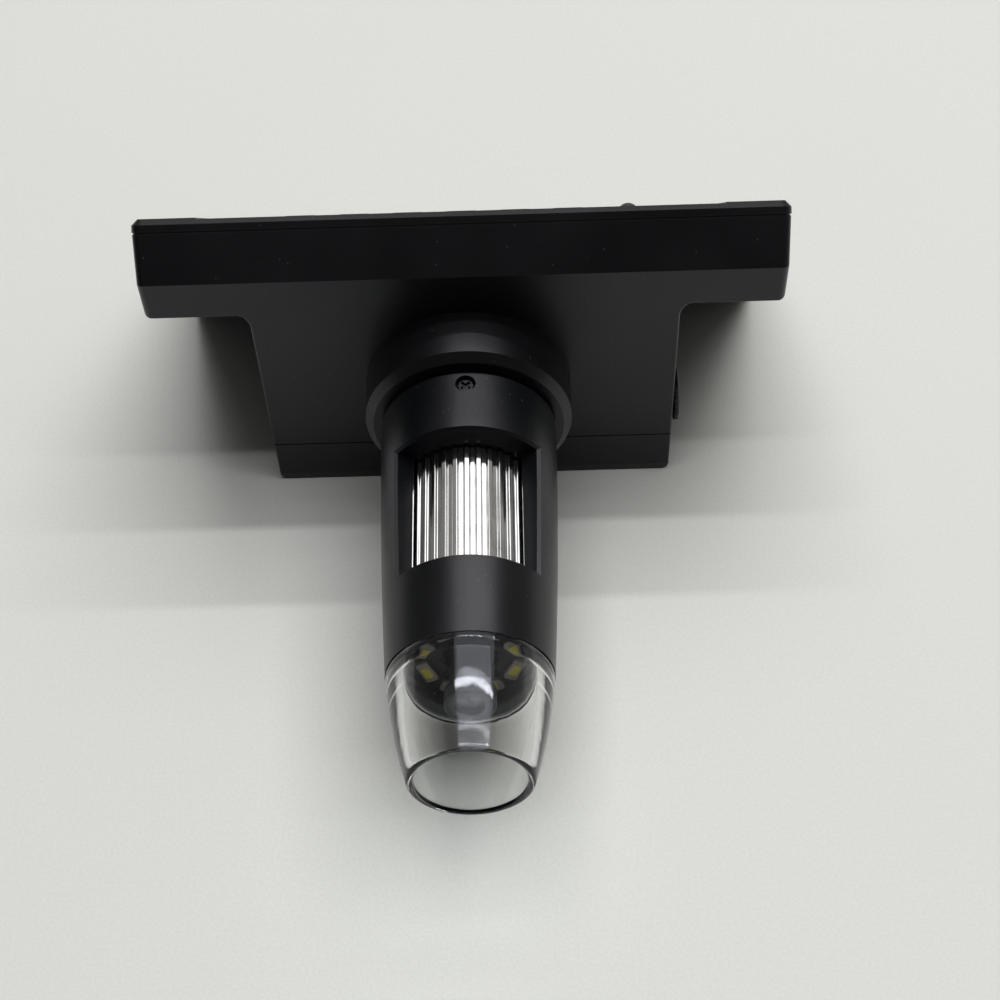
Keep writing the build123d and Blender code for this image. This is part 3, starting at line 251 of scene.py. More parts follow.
# ---------------------------------------------------------------- finishes
class Graph:
    """A material's node tree, with short calls that add nodes and join them."""

    def __init__(self, name: str) -> None:
        """Makes an empty material of that name."""
        self.material = bpy.data.materials.new(name)
        self.material.use_nodes = True
        self.tree = self.material.node_tree
        self.tree.nodes.clear()
        self.output = self.tree.nodes.new("ShaderNodeOutputMaterial")

    def add(self, kind: str, inputs: dict | None = None, **settings) -> bpy.types.Node:
        """Adds a node.

        Args:
            kind: the node type's name after ShaderNode.
            inputs: a value or another node's output for each input.
            settings: the node's own properties.

        Returns:
            The node.
        """
        node = self.tree.nodes.new("ShaderNode" + kind)
        for key, value in settings.items():
            setattr(node, key, value)
        for key, value in (inputs or {}).items():
            if isinstance(value, bpy.types.NodeSocket):
                self.tree.links.new(value, node.inputs[key])
            else:
                node.inputs[key].default_value = value
        return node

    def place(self, stretch: Colour = (1.0, 1.0, 1.0)) -> bpy.types.NodeSocket:
        """Row frame coordinates in millimetres, stretched along the axes."""
        source = self.add("TexCoord").outputs["Object"]
        scale = tuple(1 / MM * s for s in stretch)
        return self.add("Mapping", {"Vector": source, "Scale": scale}).outputs[0]

    def slab_place(self) -> bpy.types.NodeSocket:
        """Slab coordinates (across, along, height) in millimetres."""
        source = self.add("TexCoord").outputs["Object"]
        origin = tuple(v * MM for v in FACE_ORIGIN)
        values = {"Vector": source, "Location": origin, "Rotation": (-radians(FACE_TILT), 0, 0)}
        values["Scale"] = (MM, MM, MM)
        return self.add("Mapping", values, vector_type="TEXTURE").outputs[0]

    def noise(
        self, place: bpy.types.NodeSocket, scale: float, detail: float = 2.0
    ) -> bpy.types.NodeSocket:
        """Smooth noise with so many lumps to a millimetre."""
        values = {"Vector": place, "Scale": scale, "Detail": detail}
        return self.add("TexNoise", values).outputs["Fac"]

    def maths(self, operation: str, a, b=0.0) -> bpy.types.NodeSocket:
        """One arithmetic step on two values or sockets."""
        node = self.add("Math", operation=operation)
        for socket, value in zip(node.inputs, (a, b)):
            if isinstance(value, bpy.types.NodeSocket):
                self.tree.links.new(value, socket)
            else:
                socket.default_value = value
        return node.outputs[0]

    def spread(
        self, value: bpy.types.NodeSocket, low: float, high: float, to_low: float, to_high: float
    ) -> bpy.types.NodeSocket:
        """Maps the range low to high onto the range to_low to to_high, and holds it there."""
        values = {"Value": value, "From Min": low, "From Max": high, "To Min": to_low, "To Max": to_high}
        return self.add("MapRange", values).outputs[0]

    def mix(self, share, a, b) -> bpy.types.NodeSocket:
        """Mixes two colours, or colour sockets, by a share of the second."""
        node = self.add("Mix", data_type="RGBA")
        for socket, value in ((node.inputs[0], share), (node.inputs[6], a), (node.inputs[7], b)):
            if isinstance(value, bpy.types.NodeSocket):
                self.tree.links.new(value, socket)
            elif isinstance(value, tuple):
                socket.default_value = (*value, 1.0)
            else:
                socket.default_value = value
        return node.outputs[2]

    def specks(
        self, place: bpy.types.NodeSocket, spacing: float, radius: float, keep: float
    ) -> bpy.types.NodeSocket:
        """Round specks of dust.

        Args:
            place: coordinates in millimetres.
            spacing: mean distance between specks before thinning out.
            radius: radius of a speck.
            keep: share of the specks that stay.

        Returns:
            1 on a speck and 0 off it.
        """
        cells = self.add("TexVoronoi", {"Vector": place, "Scale": 1 / spacing})
        near = self.spread(cells.outputs["Distance"], 0.5 * radius / spacing, radius / spacing, 1, 0)
        chance = self.add("SeparateColor", {"Color": cells.outputs["Color"]}).outputs[0]
        return self.maths("MULTIPLY", near, self.maths("LESS_THAN", chance, keep))

    def edges(self, radius: float) -> bpy.types.NodeSocket:
        """1 on edges and 0 on flats, from how far a bevel of that radius turns the surface."""
        bevel = self.add("Bevel", {"Radius": radius * MM}, samples=4)
        true = self.add("NewGeometry").outputs["True Normal"]
        turn = self.add("VectorMath", {0: bevel.outputs[0], 1: true}, operation="DOT_PRODUCT")
        return self.spread(turn.outputs["Value"], 0.75, 0.98, 1, 0)

    def bump(self, height: bpy.types.NodeSocket, depth: float) -> bpy.types.NodeSocket:
        """A surface raised by height times a depth in millimetres."""
        values = {"Height": height, "Distance": depth * MM, "Strength": 1.0}
        return self.add("Bump", values).outputs[0]

    def finish(self, inputs: dict) -> bpy.types.Material:
        """Ends the tree in one principled shader with these inputs."""
        shader = self.add("BsdfPrincipled", inputs)
        self.tree.links.new(shader.outputs[0], self.output.inputs[0])
        return self.material


@dataclass(frozen=True)
class MouldedPlastic:
    """Dark moulded plastic: a fine tool texture, hand smudges, dust and edges worn smooth, painted lighter
    at the edges partly as wear and partly as a painted highlight.
    """

    name: str
    colour: Colour = (0.0030, 0.0031, 0.0036)
    roughness: float = 0.31
    grain: Grain = Grain.SPARK
    grain_depth: float = 0.012
    dust: float = 0.55
    # Share of the lighter edge colour: partly wear, partly a painted highlight where edges catch the
    # light.
    wear: float = 0.6
    ior: float = 1.41
    # Lighter edge colour: partly wear, partly a painted highlight.
    worn_and_highlight_colour: Colour = (0.022, 0.022, 0.024)
    dust_colour: Colour = (0.3, 0.3, 0.29)
    sheen: Colour = (0.93, 0.94, 1.0)

    def material(self) -> bpy.types.Material:
        """Builds the material."""
        g = Graph(self.name)
        place = g.place()
        smudge = g.noise(place, 0.045, 4)
        grain = g.noise(place, self.grain.value, 3)
        fine = g.spread(grain, 0.35, 0.65, 0.82, 1.2)
        smudged = tuple(1.35 * c for c in self.colour)
        base = g.mix(g.spread(smudge, 0.3, 0.7, 0, 1), self.colour, smudged)
        grained = {0: 1.0, 6: base, 7: fine}
        base = g.add("Mix", grained, data_type="RGBA", blend_type="MULTIPLY").outputs[2]
        # Edges are painted lighter by the wear share, partly as wear and partly as a painted highlight
        # along edges that catch the light; they are also made smoother below.
        edge = g.maths("MULTIPLY", g.edges(0.3), self.wear)
        base = g.mix(edge, base, self.worn_and_highlight_colour)
        dust = g.specks(place, 1.7, 0.09, self.dust)
        base = g.mix(g.maths("MULTIPLY", dust, 0.6), base, self.dust_colour)
        rough = g.spread(smudge, 0.25, 0.75, self.roughness - 0.05, self.roughness + 0.07)
        rough = g.maths("SUBTRACT", rough, g.maths("MULTIPLY", edge, 0.1))
        rough = g.maths("ADD", rough, g.maths("MULTIPLY", dust, 0.3))
        normal = g.bump(grain, self.grain_depth)
        values = {"Base Color": base, "Roughness": rough, "Normal": normal, "IOR": self.ior}
        values["Specular Tint"] = (*self.sheen, 1.0)
        return g.finish(values)


@dataclass(frozen=True)
class ClearPlastic:
    """Clear polished plastic that lets the lamps through, with faint polishing marks and dust.

    Marks is the relief's depth in millimetres, scratches the share of the fine lines in it, shade the
    light that a shadow ray keeps and sheen the tint of the reflections.
    """

    name: str
    tint: Colour = (0.985, 0.99, 0.988)
    roughness: float = 0.02
    ior: float = 1.49
    marks: float = 0.015
    scratches: float = 0.08
    shade: Colour = (0.78, 0.79, 0.79)
    sheen: Colour = (0.6, 0.62, 0.69)

    def material(self) -> bpy.types.Material:
        """Builds the material."""
        g = Graph(self.name)
        place = g.place()
        ripple = g.noise(place, 0.35, 1)
        scratch = g.noise(g.place((1.0, 4.0, 1.0)), 2.2, 4)
        dust = g.specks(place, 2.2, 0.1, 0.35)
        rough = g.spread(g.noise(place, 0.2, 3), 0.35, 0.7, self.roughness * 0.4, self.roughness * 2)
        rough = g.maths("ADD", rough, g.maths("MULTIPLY", dust, 0.5))
        relief = g.maths("ADD", ripple, g.maths("MULTIPLY", scratch, self.scratches))
        normal = g.bump(relief, self.marks)
        shader = g.add(
            "BsdfPrincipled",
            {
                "Base Color": (*self.tint, 1),
                "Roughness": rough,
                "IOR": self.ior,
                "Specular Tint": (*self.sheen, 1),
                "Transmission Weight": 1.0,
                "Normal": normal,
            },
        )
        through = g.add("BsdfTransparent", {"Color": (*self.shade, 1)})
        shadow = g.add("LightPath").outputs["Is Shadow Ray"]
        mixed = g.add("MixShader", {0: shadow, 1: shader.outputs[0], 2: through.outputs[0]})
        g.tree.links.new(mixed.outputs[0], g.output.inputs[0])
        return g.material


@dataclass(frozen=True)
class Metal:
    """Metal with fine lines or an even grain, and stains that dull it here and there."""

    name: str
    colour: Colour = (0.62, 0.62, 0.63)
    roughness: float = 0.28
    lines: Colour = (1.0, 1.0, 1.0)
    line_scale: float = 8.0
    depth: float = 0.002

    def material(self) -> bpy.types.Material:
        """Builds the material."""
        g = Graph(self.name)
        place = g.place(self.lines)
        line = g.noise(place, self.line_scale, 3)
        stain = g.noise(g.place(), 0.15, 4)
        stained = tuple(0.72 * c for c in self.colour)
        base = g.mix(g.spread(stain, 0.45, 0.75, 0, 1), self.colour, stained)
        rough = g.spread(line, 0.3, 0.7, 0.75 * self.roughness, 1.3 * self.roughness)
        rough = g.maths("ADD", rough, g.spread(stain, 0.5, 0.8, 0, 0.1))
        normal = g.bump(line, self.depth)
        return g.finish({"Base Color": base, "Metallic": 1.0, "Roughness": rough, "Normal": normal})


@dataclass(frozen=True)
class PlainPart:
    """A small moulded or coated part: a colour with cloudy variation and a light grain."""

    name: str
    colour: Colour
    roughness: float = 0.45
    variation: float = 0.2
    scale: float = 0.8
    coat: float = 0.0

    def material(self) -> bpy.types.Material:
        """Builds the material."""
        g = Graph(self.name)
        place = g.place()
        cloud = g.noise(place, self.scale, 4)
        low = tuple(c * (1 - self.variation) for c in self.colour)
        high = tuple(min(1.0, c * (1 + self.variation)) for c in self.colour)
        base = g.mix(g.spread(cloud, 0.3, 0.7, 0, 1), low, high)
        rough = g.spread(cloud, 0.3, 0.7, self.roughness * 0.85, self.roughness * 1.15)
        normal = g.bump(g.noise(place, 7, 2), 0.006)
        values = {"Base Color": base, "Roughness": rough, "Normal": normal, "Coat Weight": self.coat}
        return g.finish(values)


@dataclass(frozen=True)
class CircuitBoard:
    """Solder mask over copper: lighter traces in straight runs, with dots of tinned pads.

    The runs lie in slab coordinates where slab is set, and in the row frame's otherwise.
    """

    name: str
    mask: Colour = (0.012, 0.10, 0.035)
    trace: Colour = (0.03, 0.17, 0.06)
    slab: bool = True
    shine: float = 0.5
    pad_colour: Colour = (0.62, 0.6, 0.55)

    def material(self) -> bpy.types.Material:
        """Builds the material."""
        g = Graph(self.name)
        place = g.slab_place() if self.slab else g.place()
        runs = {"Vector": place, "Scale": 0.6, "Mortar Size": 0.03, "Row Height": 0.4}
        bricks = g.add("TexBrick", runs)
        lines = g.spread(bricks.outputs["Fac"], 0.0, 0.8, 0, 1)
        blocks = g.noise(place, 0.22, 0)
        lines = g.maths("MULTIPLY", lines, g.maths("GREATER_THAN", blocks, 0.47))
        base = g.mix(lines, self.mask, self.trace)
        pads = g.specks(place, 2.4, 0.3, 0.3)
        base = g.mix(pads, base, self.pad_colour)
        rough = g.spread(g.noise(place, 1.5, 2), 0.3, 0.7, 0.25, 0.38)
        normal = g.bump(g.maths("ADD", lines, pads), 0.02)
        values = {"Base Color": base, "Metallic": pads, "Roughness": rough, "Normal": normal}
        values["Specular IOR Level"] = self.shine
        return g.finish(values)


@dataclass(frozen=True)
class DisplayGlass:
    """Smoked cover glass: a printed black border round a viewing area that is a shade lighter."""

    name: str
    view_width: float = 97.0
    view_length: float = 57.6
    view_along: float = 43.2
    border_blur: float = 0.1
    border_colour: Colour = (0.003, 0.003, 0.0035)
    view_colour: Colour = (0.011, 0.0125, 0.0155)
    dust_colour: Colour = (0.3, 0.3, 0.3)

    def material(self) -> bpy.types.Material:
        """Builds the material."""
        g = Graph(self.name)
        place = g.slab_place()
        parts = g.add("SeparateXYZ", {"Vector": place})
        across = g.maths("ABSOLUTE", parts.outputs[0])
        along = g.maths("ABSOLUTE", g.maths("SUBTRACT", parts.outputs[1], self.view_along))
        half_width, half_length, blur = self.view_width / 2, self.view_length / 2, self.border_blur
        inside = g.maths(
            "MULTIPLY",
            g.spread(across, half_width - blur, half_width + blur, 1, 0),
            g.spread(along, half_length - blur, half_length + blur, 1, 0),
        )
        smear = g.noise(g.place((1.0, 0.4, 1.0)), 0.09, 5)
        base = g.mix(inside, self.border_colour, self.view_colour)
        dust = g.specks(g.place(), 3.0, 0.12, 0.5)
        base = g.mix(g.maths("MULTIPLY", dust, 0.7), base, self.dust_colour)
        rough = g.spread(smear, 0.4, 0.7, 0.03, 0.14)
        rough = g.maths("ADD", rough, g.maths("MULTIPLY", dust, 0.4))
        normal = g.bump(smear, 0.0015)
        return g.finish({"Base Color": base, "Roughness": rough, "Normal": normal, "IOR": 1.52})


@dataclass(frozen=True)
class RibbonCable:
    """Amber film with copper tracks that run along it."""

    name: str
    film: Colour = (0.42, 0.19, 0.03)
    track: Colour = (0.62, 0.31, 0.09)
    pitch: float = 0.8

    def material(self) -> bpy.types.Material:
        """Builds the material."""
        g = Graph(self.name)
        place = g.place()
        across = g.add("SeparateXYZ", {"Vector": place}).outputs[0]
        wave = g.maths("SINE", g.maths("MULTIPLY", across, 2 * pi / self.pitch))
        track = g.spread(wave, -0.2, 0.3, 0, 1)
        base = g.mix(track, self.film, self.track)
        rough = g.spread(g.noise(place, 1.2, 2), 0.3, 0.7, 0.28, 0.42)
        normal = g.bump(track, 0.02)
        values = {"Base Color": base, "Roughness": rough, "Normal": normal, "Coat Weight": 0.3}
        return g.finish(values)


@dataclass(frozen=True)
class PaleSheet:
    """A pale seamless sheet with a faint fibre grain."""

    name: str
    colour: Colour = (0.645, 0.655, 0.625)

    def material(self) -> bpy.types.Material:
        """Builds the material."""
        g = Graph(self.name)
        place = g.place()
        grain = g.noise(place, 1.6, 4)
        cloud = g.noise(place, 0.012, 3)
        dark = tuple(0.93 * c for c in self.colour)
        base = g.mix(g.spread(grain, 0.3, 0.7, 0, 1), dark, self.colour)
        base = g.mix(g.spread(cloud, 0.35, 0.65, 0.0, 0.25), base, dark)
        normal = g.bump(grain, 0.03)
        return g.finish({"Base Color": base, "Roughness": 0.62, "Normal": normal})


def dress(names: list[str], material: bpy.types.Material) -> None:
    """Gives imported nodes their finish.

    Args:
        names: the nodes.
        material: their material.
    """
    for name in names:
        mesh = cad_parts[name].data
        mesh.materials.clear()
        mesh.materials.append(material)
        log.info("dressed %s with %s", name, material.name)


def wear(piece: bpy.types.Object, material: bpy.types.Material, body: Body, slot: str) -> bpy.types.Object:
    """Gives a new piece its material and body.

    Args:
        piece: the new piece.
        material: its material.
        body: the body that it rides on.
        slot: the record's material slot, which is not used.

    Returns:
        The same piece.
    """
    piece.data.materials.append(material)
    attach(piece, body.value)
    log.info("built %s: %d faces", piece.name, len(piece.data.polygons))
    return piece


# ---------------------------------------------------------------- sub-assemblies
@dataclass
class Casing:
    """The rear shell, the leg's end cap, the bezel and the collar, with the screws on the outside."""

    shell: MouldedPlastic = MouldedPlastic("black_spark_texture")
    bezel: MouldedPlastic = MouldedPlastic("black_satin", roughness=0.3, grain=Grain.SATIN)
    screw: Metal = Metal("black_oxide_steel", (0.022, 0.022, 0.023), 0.42)

    def build(self) -> None:
        """Dresses the casing."""
        shell = self.shell.material()
        dress(["rear_shell", "rear_end_cap", "mount_collar"], shell)
        dress(["front_bezel"], self.bezel.material())
        dress(["case_screws", "end_cap_screws", "barrel_screw"], self.screw.material())


@dataclass
class DisplayFace:
    """The window, the display under it and the keys."""

    glass: DisplayGlass = DisplayGlass("smoked_cover_glass")
    keys: MouldedPlastic = MouldedPlastic("key_satin", (0.03, 0.03, 0.032), 0.38, Grain.FINE, 0.006)
    cell: PlainPart = PlainPart("display_cell", (0.02, 0.022, 0.026), 0.15, 0.15, 0.1, 0.5)
    tray: Metal = Metal("stamped_tray", lines=(1.0, 0.1, 0.1))

    def build(self) -> None:
        """Dresses the window, the keys and the display."""
        dress(["display_window"], self.glass.material())
        keys = [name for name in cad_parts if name.startswith("key_") and "board" not in name]
        dress([name for name in keys if name != "key_switches"], self.keys.material())
        dress(["lcd_panel"], self.cell.material())
        dress(["lcd_tray"], self.tray.material())


@dataclass
class Barrel:
    """The outer shell of the barrel and the parts fixed inside it."""

    shell: MouldedPlastic = MouldedPlastic(
        "barrel_soft_black", (0.0022, 0.0025, 0.0030), 0.33, Grain.SATIN, 0.010, 0.6, 0.7, 1.36
    )
    inner: MouldedPlastic = MouldedPlastic(
        "inner_matte_black", (0.006, 0.006, 0.006), 0.6, Grain.SPARK, 0.01, 0.2, 0.2
    )

    def build(self) -> None:
        """Dresses the barrel."""
        dress(["barrel_shell"], self.shell.material())
        dress(["guide_sleeve", "wheel_retainer"], self.inner.material())


@dataclass
class FocusWheel:
    """The bright ribbed wheel that turns on the guide sleeve."""

    start: float = 26.7
    length: float = 28.1
    radius: float = 12.4
    bore: float = 9.55
    ribs: int = 34
    rib_depth: float = 0.65
    steps_per_rib: int = 20
    squareness: float = 7.0
    bore_rounding: float = 0.2
    rim_rounding: float = 0.35
    rib_rows: int = 12
    finish: Metal = Metal("bright_wheel", (0.74, 0.745, 0.75), 0.09, (1.0, 0.04, 1.0), 5.0, 0.0002)

    def outline(self) -> np.ndarray:
        """The wheel's cross section as (station, radius), from the bore out and round to the bore."""
        start, end = self.start, self.start + self.length
        corners = [(start, self.bore), (start, self.radius), (end, self.radius), (end, self.bore)]
        radii = [self.bore_rounding, self.rim_rounding, self.rim_rounding, self.bore_rounding]
        path = rounded_path(corners, radii, steps=6)
        rim = np.flatnonzero(path[:, 1] > self.radius - self.rib_depth)
        middle = rim[0] + len(rim) // 2
        stations = np.linspace(start + 0.6, end - 0.6, self.rib_rows)
        top = np.stack((stations, np.full(self.rib_rows, self.radius)), axis=-1)
        return np.concatenate((path[:middle], top, path[middle:]))

    def surface(self) -> bpy.types.Object:
        """The ribbed surface.

        The outline goes round the axis. Where it lies outside the rib roots, its height over them is
        multiplied by w. Here w is half of 1 plus the hyperbolic tangent of squareness times the cosine of
        ribs times the turn, over that of squareness, so ribs are flat on top with rounded shoulders.
        """
        outline = self.outline()
        count = self.ribs * self.steps_per_rib
        turn = np.linspace(2 * pi, 0, count, endpoint=False)
        wave = np.tanh(self.squareness * np.cos(self.ribs * turn)) / np.tanh(self.squareness)
        height = 0.5 + 0.5 * wave[None, :]
        root = self.radius - self.rib_depth
        share = np.clip((outline[:, 1:] - root) / self.rib_depth, 0, 1)
        radius = outline[:, 1:] - self.rib_depth * share * (1 - height)
        points = barrel_points(outline[:, :1], radius, turn[None, :])
        return grid_mesh("ribbed_focus_wheel", points, close_rows=True)

    def build(self) -> None:
        """Builds the wheel in place of its solid."""
        piece = wear(self.surface(), self.finish.material(), Body.WHEEL, "wheel")
        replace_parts(piece, "focus_wheel")


@dataclass
class LensCarrier:
    """The sliding carrier with its tube, lenses and drive pin."""

    middle: float = 42.0
    length: float = 16.0
    radius: float = 7.65
    neck_radius: float = 3.9
    head_radius: float = 5.0
    head_start: float = 74.2
    tube_end: float = 77.6
    rear_bore: float = 6.2
    front_bore: float = 3.1
    seat_radius: float = 4.3
    seat_depth: float = 2.8
    front_wall: float = 2.0
    line_start: float = 0.9
    line_end: float = 1.3
    line_depth: float = 0.12
    tube: MouldedPlastic = MouldedPlastic(
        "carrier_black", (0.012, 0.012, 0.0125), 0.33, Grain.FINE, 0.004, 0.5, 0.5
    )
    glass: ClearPlastic = ClearPlastic("coated_lens", (0.93, 0.97, 0.96), 0.005, 1.52, 0.0)
    ring: Metal = Metal("anodised_ring", (0.07, 0.07, 0.075), 0.3)
    pin: Metal = Metal("ground_pin", (0.6, 0.6, 0.61), 0.2)

    def outline(self) -> np.ndarray:
        """The carrier's cross section as (station, radius), with its corners rounded.

        The head has a shallow turned line round it, from line_start to line_end past its start.
        """
        start = self.middle - self.length / 2
        end = self.middle + self.length / 2
        seat = self.tube_end - self.seat_depth
        line = (self.head_start + self.line_start, self.head_start + self.line_end)
        line_floor = self.head_radius - self.line_depth
        corners = [
            (start, self.rear_bore),
            (start, self.radius),
            (end, self.radius),
            (end, self.neck_radius),
            (self.head_start, self.neck_radius),
            (self.head_start, self.head_radius),
            (line[0], self.head_radius),
            (line[0], line_floor),
            (line[1], line_floor),
            (line[1], self.head_radius),
            (self.tube_end, self.head_radius),
            (self.tube_end, self.seat_radius),
            (seat, self.seat_radius),
            (seat, self.front_bore),
            (end - self.front_wall, self.front_bore),
            (end - self.front_wall, self.rear_bore),
        ]
        body_radii, line_radii = [0.3, 0.4, 0.4, 0.3, 0.3, 0.2], [0.03] * 4
        radii = body_radii + line_radii + [0.22, 0.15, 0.05, 0.1, 0.2, 0.2]
        return rounded_path(corners, radii, steps=5)

    def build(self) -> None:
        """Builds the carrier, and dresses the pin, the lenses and their ring."""
        carrier = turned_ring("turned_carrier", self.outline())
        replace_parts(wear(carrier, self.tube.material(), Body.CARRIER, "inner"), "lens_carrier")
        dress(["front_lens", "rear_lens"], self.glass.material())
        dress(["lens_ring"], self.ring.material())
        dress(["drive_pin"], self.pin.material())


@dataclass
class LightRing:
    """The board with its ring of LEDs, each a pale package with a yellow phosphor window."""

    station: float = 66.5
    circle: float = 9.6
    count: int = 8
    length: float = 5.7
    width: float = 3.0
    depth: float = 0.9
    window: tuple[float, float] = (2.0, 3.1)
    corners: int = 24
    white: PlainPart = PlainPart("led_ceramic", (0.20, 0.185, 0.15), 0.4, 0.1, 1.5)
    yellow: PlainPart = PlainPart("led_phosphor", (0.50, 0.44, 0.035), 0.42, 0.2, 2.5)
    board: CircuitBoard = CircuitBoard(
        "black_mask_board", (0.002, 0.002, 0.002), (0.006, 0.006, 0.006), False, 0.12
    )
    sleeve: PlainPart = PlainPart("lead_sleeve", (0.4, 0.02, 0.02), 0.35, 0.15)

    def packages(
        self, name: str, size: tuple[float, float], profile: np.ndarray, power: float
    ) -> bpy.types.Object:
        """Carries a profile round a rounded rectangle, at every LED's place.

        A profile row is (inset, height): half of each size less the inset, at that height above the board.
        The first and last rows are closed to a point at their middle.

        Args:
            name: the piece's name.
            size: the rectangle's size from the axis out and round the axis.
            profile: rows of (inset, height), from the bottom up and over.
            power: squareness of the rectangle.

        Returns:
            All the packages as one object.
        """
        ring = squared_ring(self.corners, power)[::-1]
        half = np.maximum(np.array(size) / 2 - profile[:, None, :1], 0.02)
        flat = ring[None, :, :] * half
        turns = (np.arange(self.count) + 0.5) * 2 * pi / self.count
        radial = self.circle + flat[None, :, :, 0]
        sideways = flat[None, :, :, 1] * np.ones((self.count, 1, 1))
        turn = turns[:, None, None]
        x = radial * np.sin(turn) + sideways * np.cos(turn)
        z = radial * np.cos(turn) - sideways * np.sin(turn)
        y = PLATE_Y - (self.station + profile[None, :, 1:] * np.ones((self.count, 1, self.corners)))
        points = np.stack((x, y, AXIS_HEIGHT + z), axis=-1)
        parts = [grid_mesh(f"{name}_{i}", points[i], cap=True) for i in range(self.count)]
        return joined(name, parts)

    def build(self) -> None:
        """Builds the LEDs and dresses their board and leads."""
        top = self.depth
        body_rows = [(0.0, 0.0), (0.0, top - 0.2), (0.06, top - 0.1), (0.2, top - 0.07), (1.0, top - 0.07)]
        glow_rows = [(0.0, top - 0.3), (0.0, top - 0.05), (0.05, top - 0.01), (0.2, top), (0.8, top)]
        body = self.packages("led_packages", (self.width, self.length), np.array(body_rows), 9)
        wear(body, self.white.material(), Body.HEAD, "led")
        glow = self.packages("led_phosphor_windows", self.window, np.array(glow_rows), 5)
        wear(glow, self.yellow.material(), Body.HEAD, "led")
        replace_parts(body, "leds")
        dress(["led_board"], self.board.material())
        dress(["led_leads"], self.sleeve.material())


@dataclass
class ClearNose:
    """The clear cap on the front of the barrel."""

    start: float = 71.8
    end: float = 94.0
    base_radius: float = 15.75
    tip_radius: float = 11.78
    wall: float = 1.5
    rounding: float = 0.7
    bow: float = 0.55
    rim_bore: float = 12.9
    spigot_bore: float = 12.2
    spigot_radius: float = 12.95
    spigot_start: float = 58.1
    spigot_end: float = 70.6
    cone_start: float = 73.4
    finish: ClearPlastic = ClearPlastic("clear_acrylic")

    def outline(self) -> np.ndarray:
        """The cap's cross section as (station, radius): out along the outside and back along the bore.

        The base's outer edge is broken by a tenth of a millimetre or two. Both sides of the open end
        are arcs, which the two bowed lines meet a little outside their start.
        """
        tip, inner_tip = self.tip_radius, self.tip_radius - self.wall
        shoulder = self.end - self.rounding
        outside = bowed((self.start + 0.12, self.base_radius - 0.06), (shoulder, tip + 0.05), self.bow)
        inside = bowed((shoulder, inner_tip + 0.03), (self.cone_start, self.rim_bore), self.bow)
        turn = np.linspace(0.2, pi / 2, 7)[:, None]
        out, across = self.rounding * np.sin(turn), self.rounding * np.cos(turn)
        outer_edge = np.concatenate((shoulder + out, tip - self.rounding + across), axis=1)
        inner_edge = np.concatenate((shoulder + out, inner_tip + self.rounding - across), axis=1)[::-1]
        spigot = np.array(
            [
                (self.spigot_end, self.spigot_bore),
                (self.spigot_start, self.spigot_bore),
                (self.spigot_start, self.spigot_radius),
                (self.start, self.spigot_radius),
                (self.start, self.base_radius - 0.2),
            ]
        )
        return np.concatenate((outside, outer_edge, inner_edge, inside, spigot))

    def build(self) -> None:
        """Builds the cap in place of its solid."""
        cap = turned_ring("clear_nose", self.outline(), 192)
        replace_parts(wear(cap, self.finish.material(), Body.HEAD, "clear"), "clear_nose_cap")


@dataclass
class BrightnessDial:
    """The knurled dial on the right side of the leg."""

    back: float = 7.0
    height: float = 16.5
    radius: float = 5.4
    inside: float = 41.983
    thickness: float = 1.1
    shaft: float = 1.5
    shaft_start: float = 35.283
    grooves: int = 36
    groove_depth: float = 0.25
    grip_depth: float = 0.6
    finish: MouldedPlastic = MouldedPlastic(
        "dial_black", (0.012, 0.012, 0.0125), 0.4, Grain.FINE, 0.006
    )

    def surface(self) -> bpy.types.Object:
        """The dial and its shaft as one surface.

        A profile of (X, radius) goes round the dial's axis. At the rim, the radius drops by the groove
        depth times the cube of half of 1 minus the cosine of grooves times the turn. Further in, the drop
        shrinks evenly to nothing at the grip's depth.
        """
        outer = self.inside + self.thickness
        profile = np.array(
            [
                (self.shaft_start, self.shaft - 0.1),
                (self.shaft_start + 0.1, self.shaft),
                (self.inside, self.shaft),
                (self.inside, self.radius - 0.2),
                (self.inside + 0.15, self.radius),
                (outer - 0.35, self.radius),
                (outer - 0.1, self.radius - 0.12),
                (outer, self.radius - 0.4),
                (outer, self.radius - 1.3),
                (outer - 0.25, self.radius - 1.6),
                (outer - 0.25, 0.6),
            ]
        )
        turn = np.linspace(0, 2 * pi, self.grooves * 8, endpoint=False)
        near_rim = np.clip(1 - (self.radius - profile[:, 1:]) / self.grip_depth, 0, 1)
        cut = (0.5 - 0.5 * np.cos(self.grooves * turn))[None, :] ** 3
        radius = profile[:, 1:] - self.groove_depth * near_rim * cut
        points = np.stack(
            np.broadcast_arrays(
                profile[:, :1],
                PLATE_Y + self.back + radius * np.cos(turn[None, :]),
                self.height + radius * np.sin(turn[None, :]),
            ),
            axis=-1,
        )
        return grid_mesh("knurled_dial", points, cap=True)

    def build(self) -> None:
        """Builds the dial in place of its solid."""
        dial = wear(self.surface(), self.finish.material(), Body.DIAL, "dial")
        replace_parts(dial, "brightness_dial")


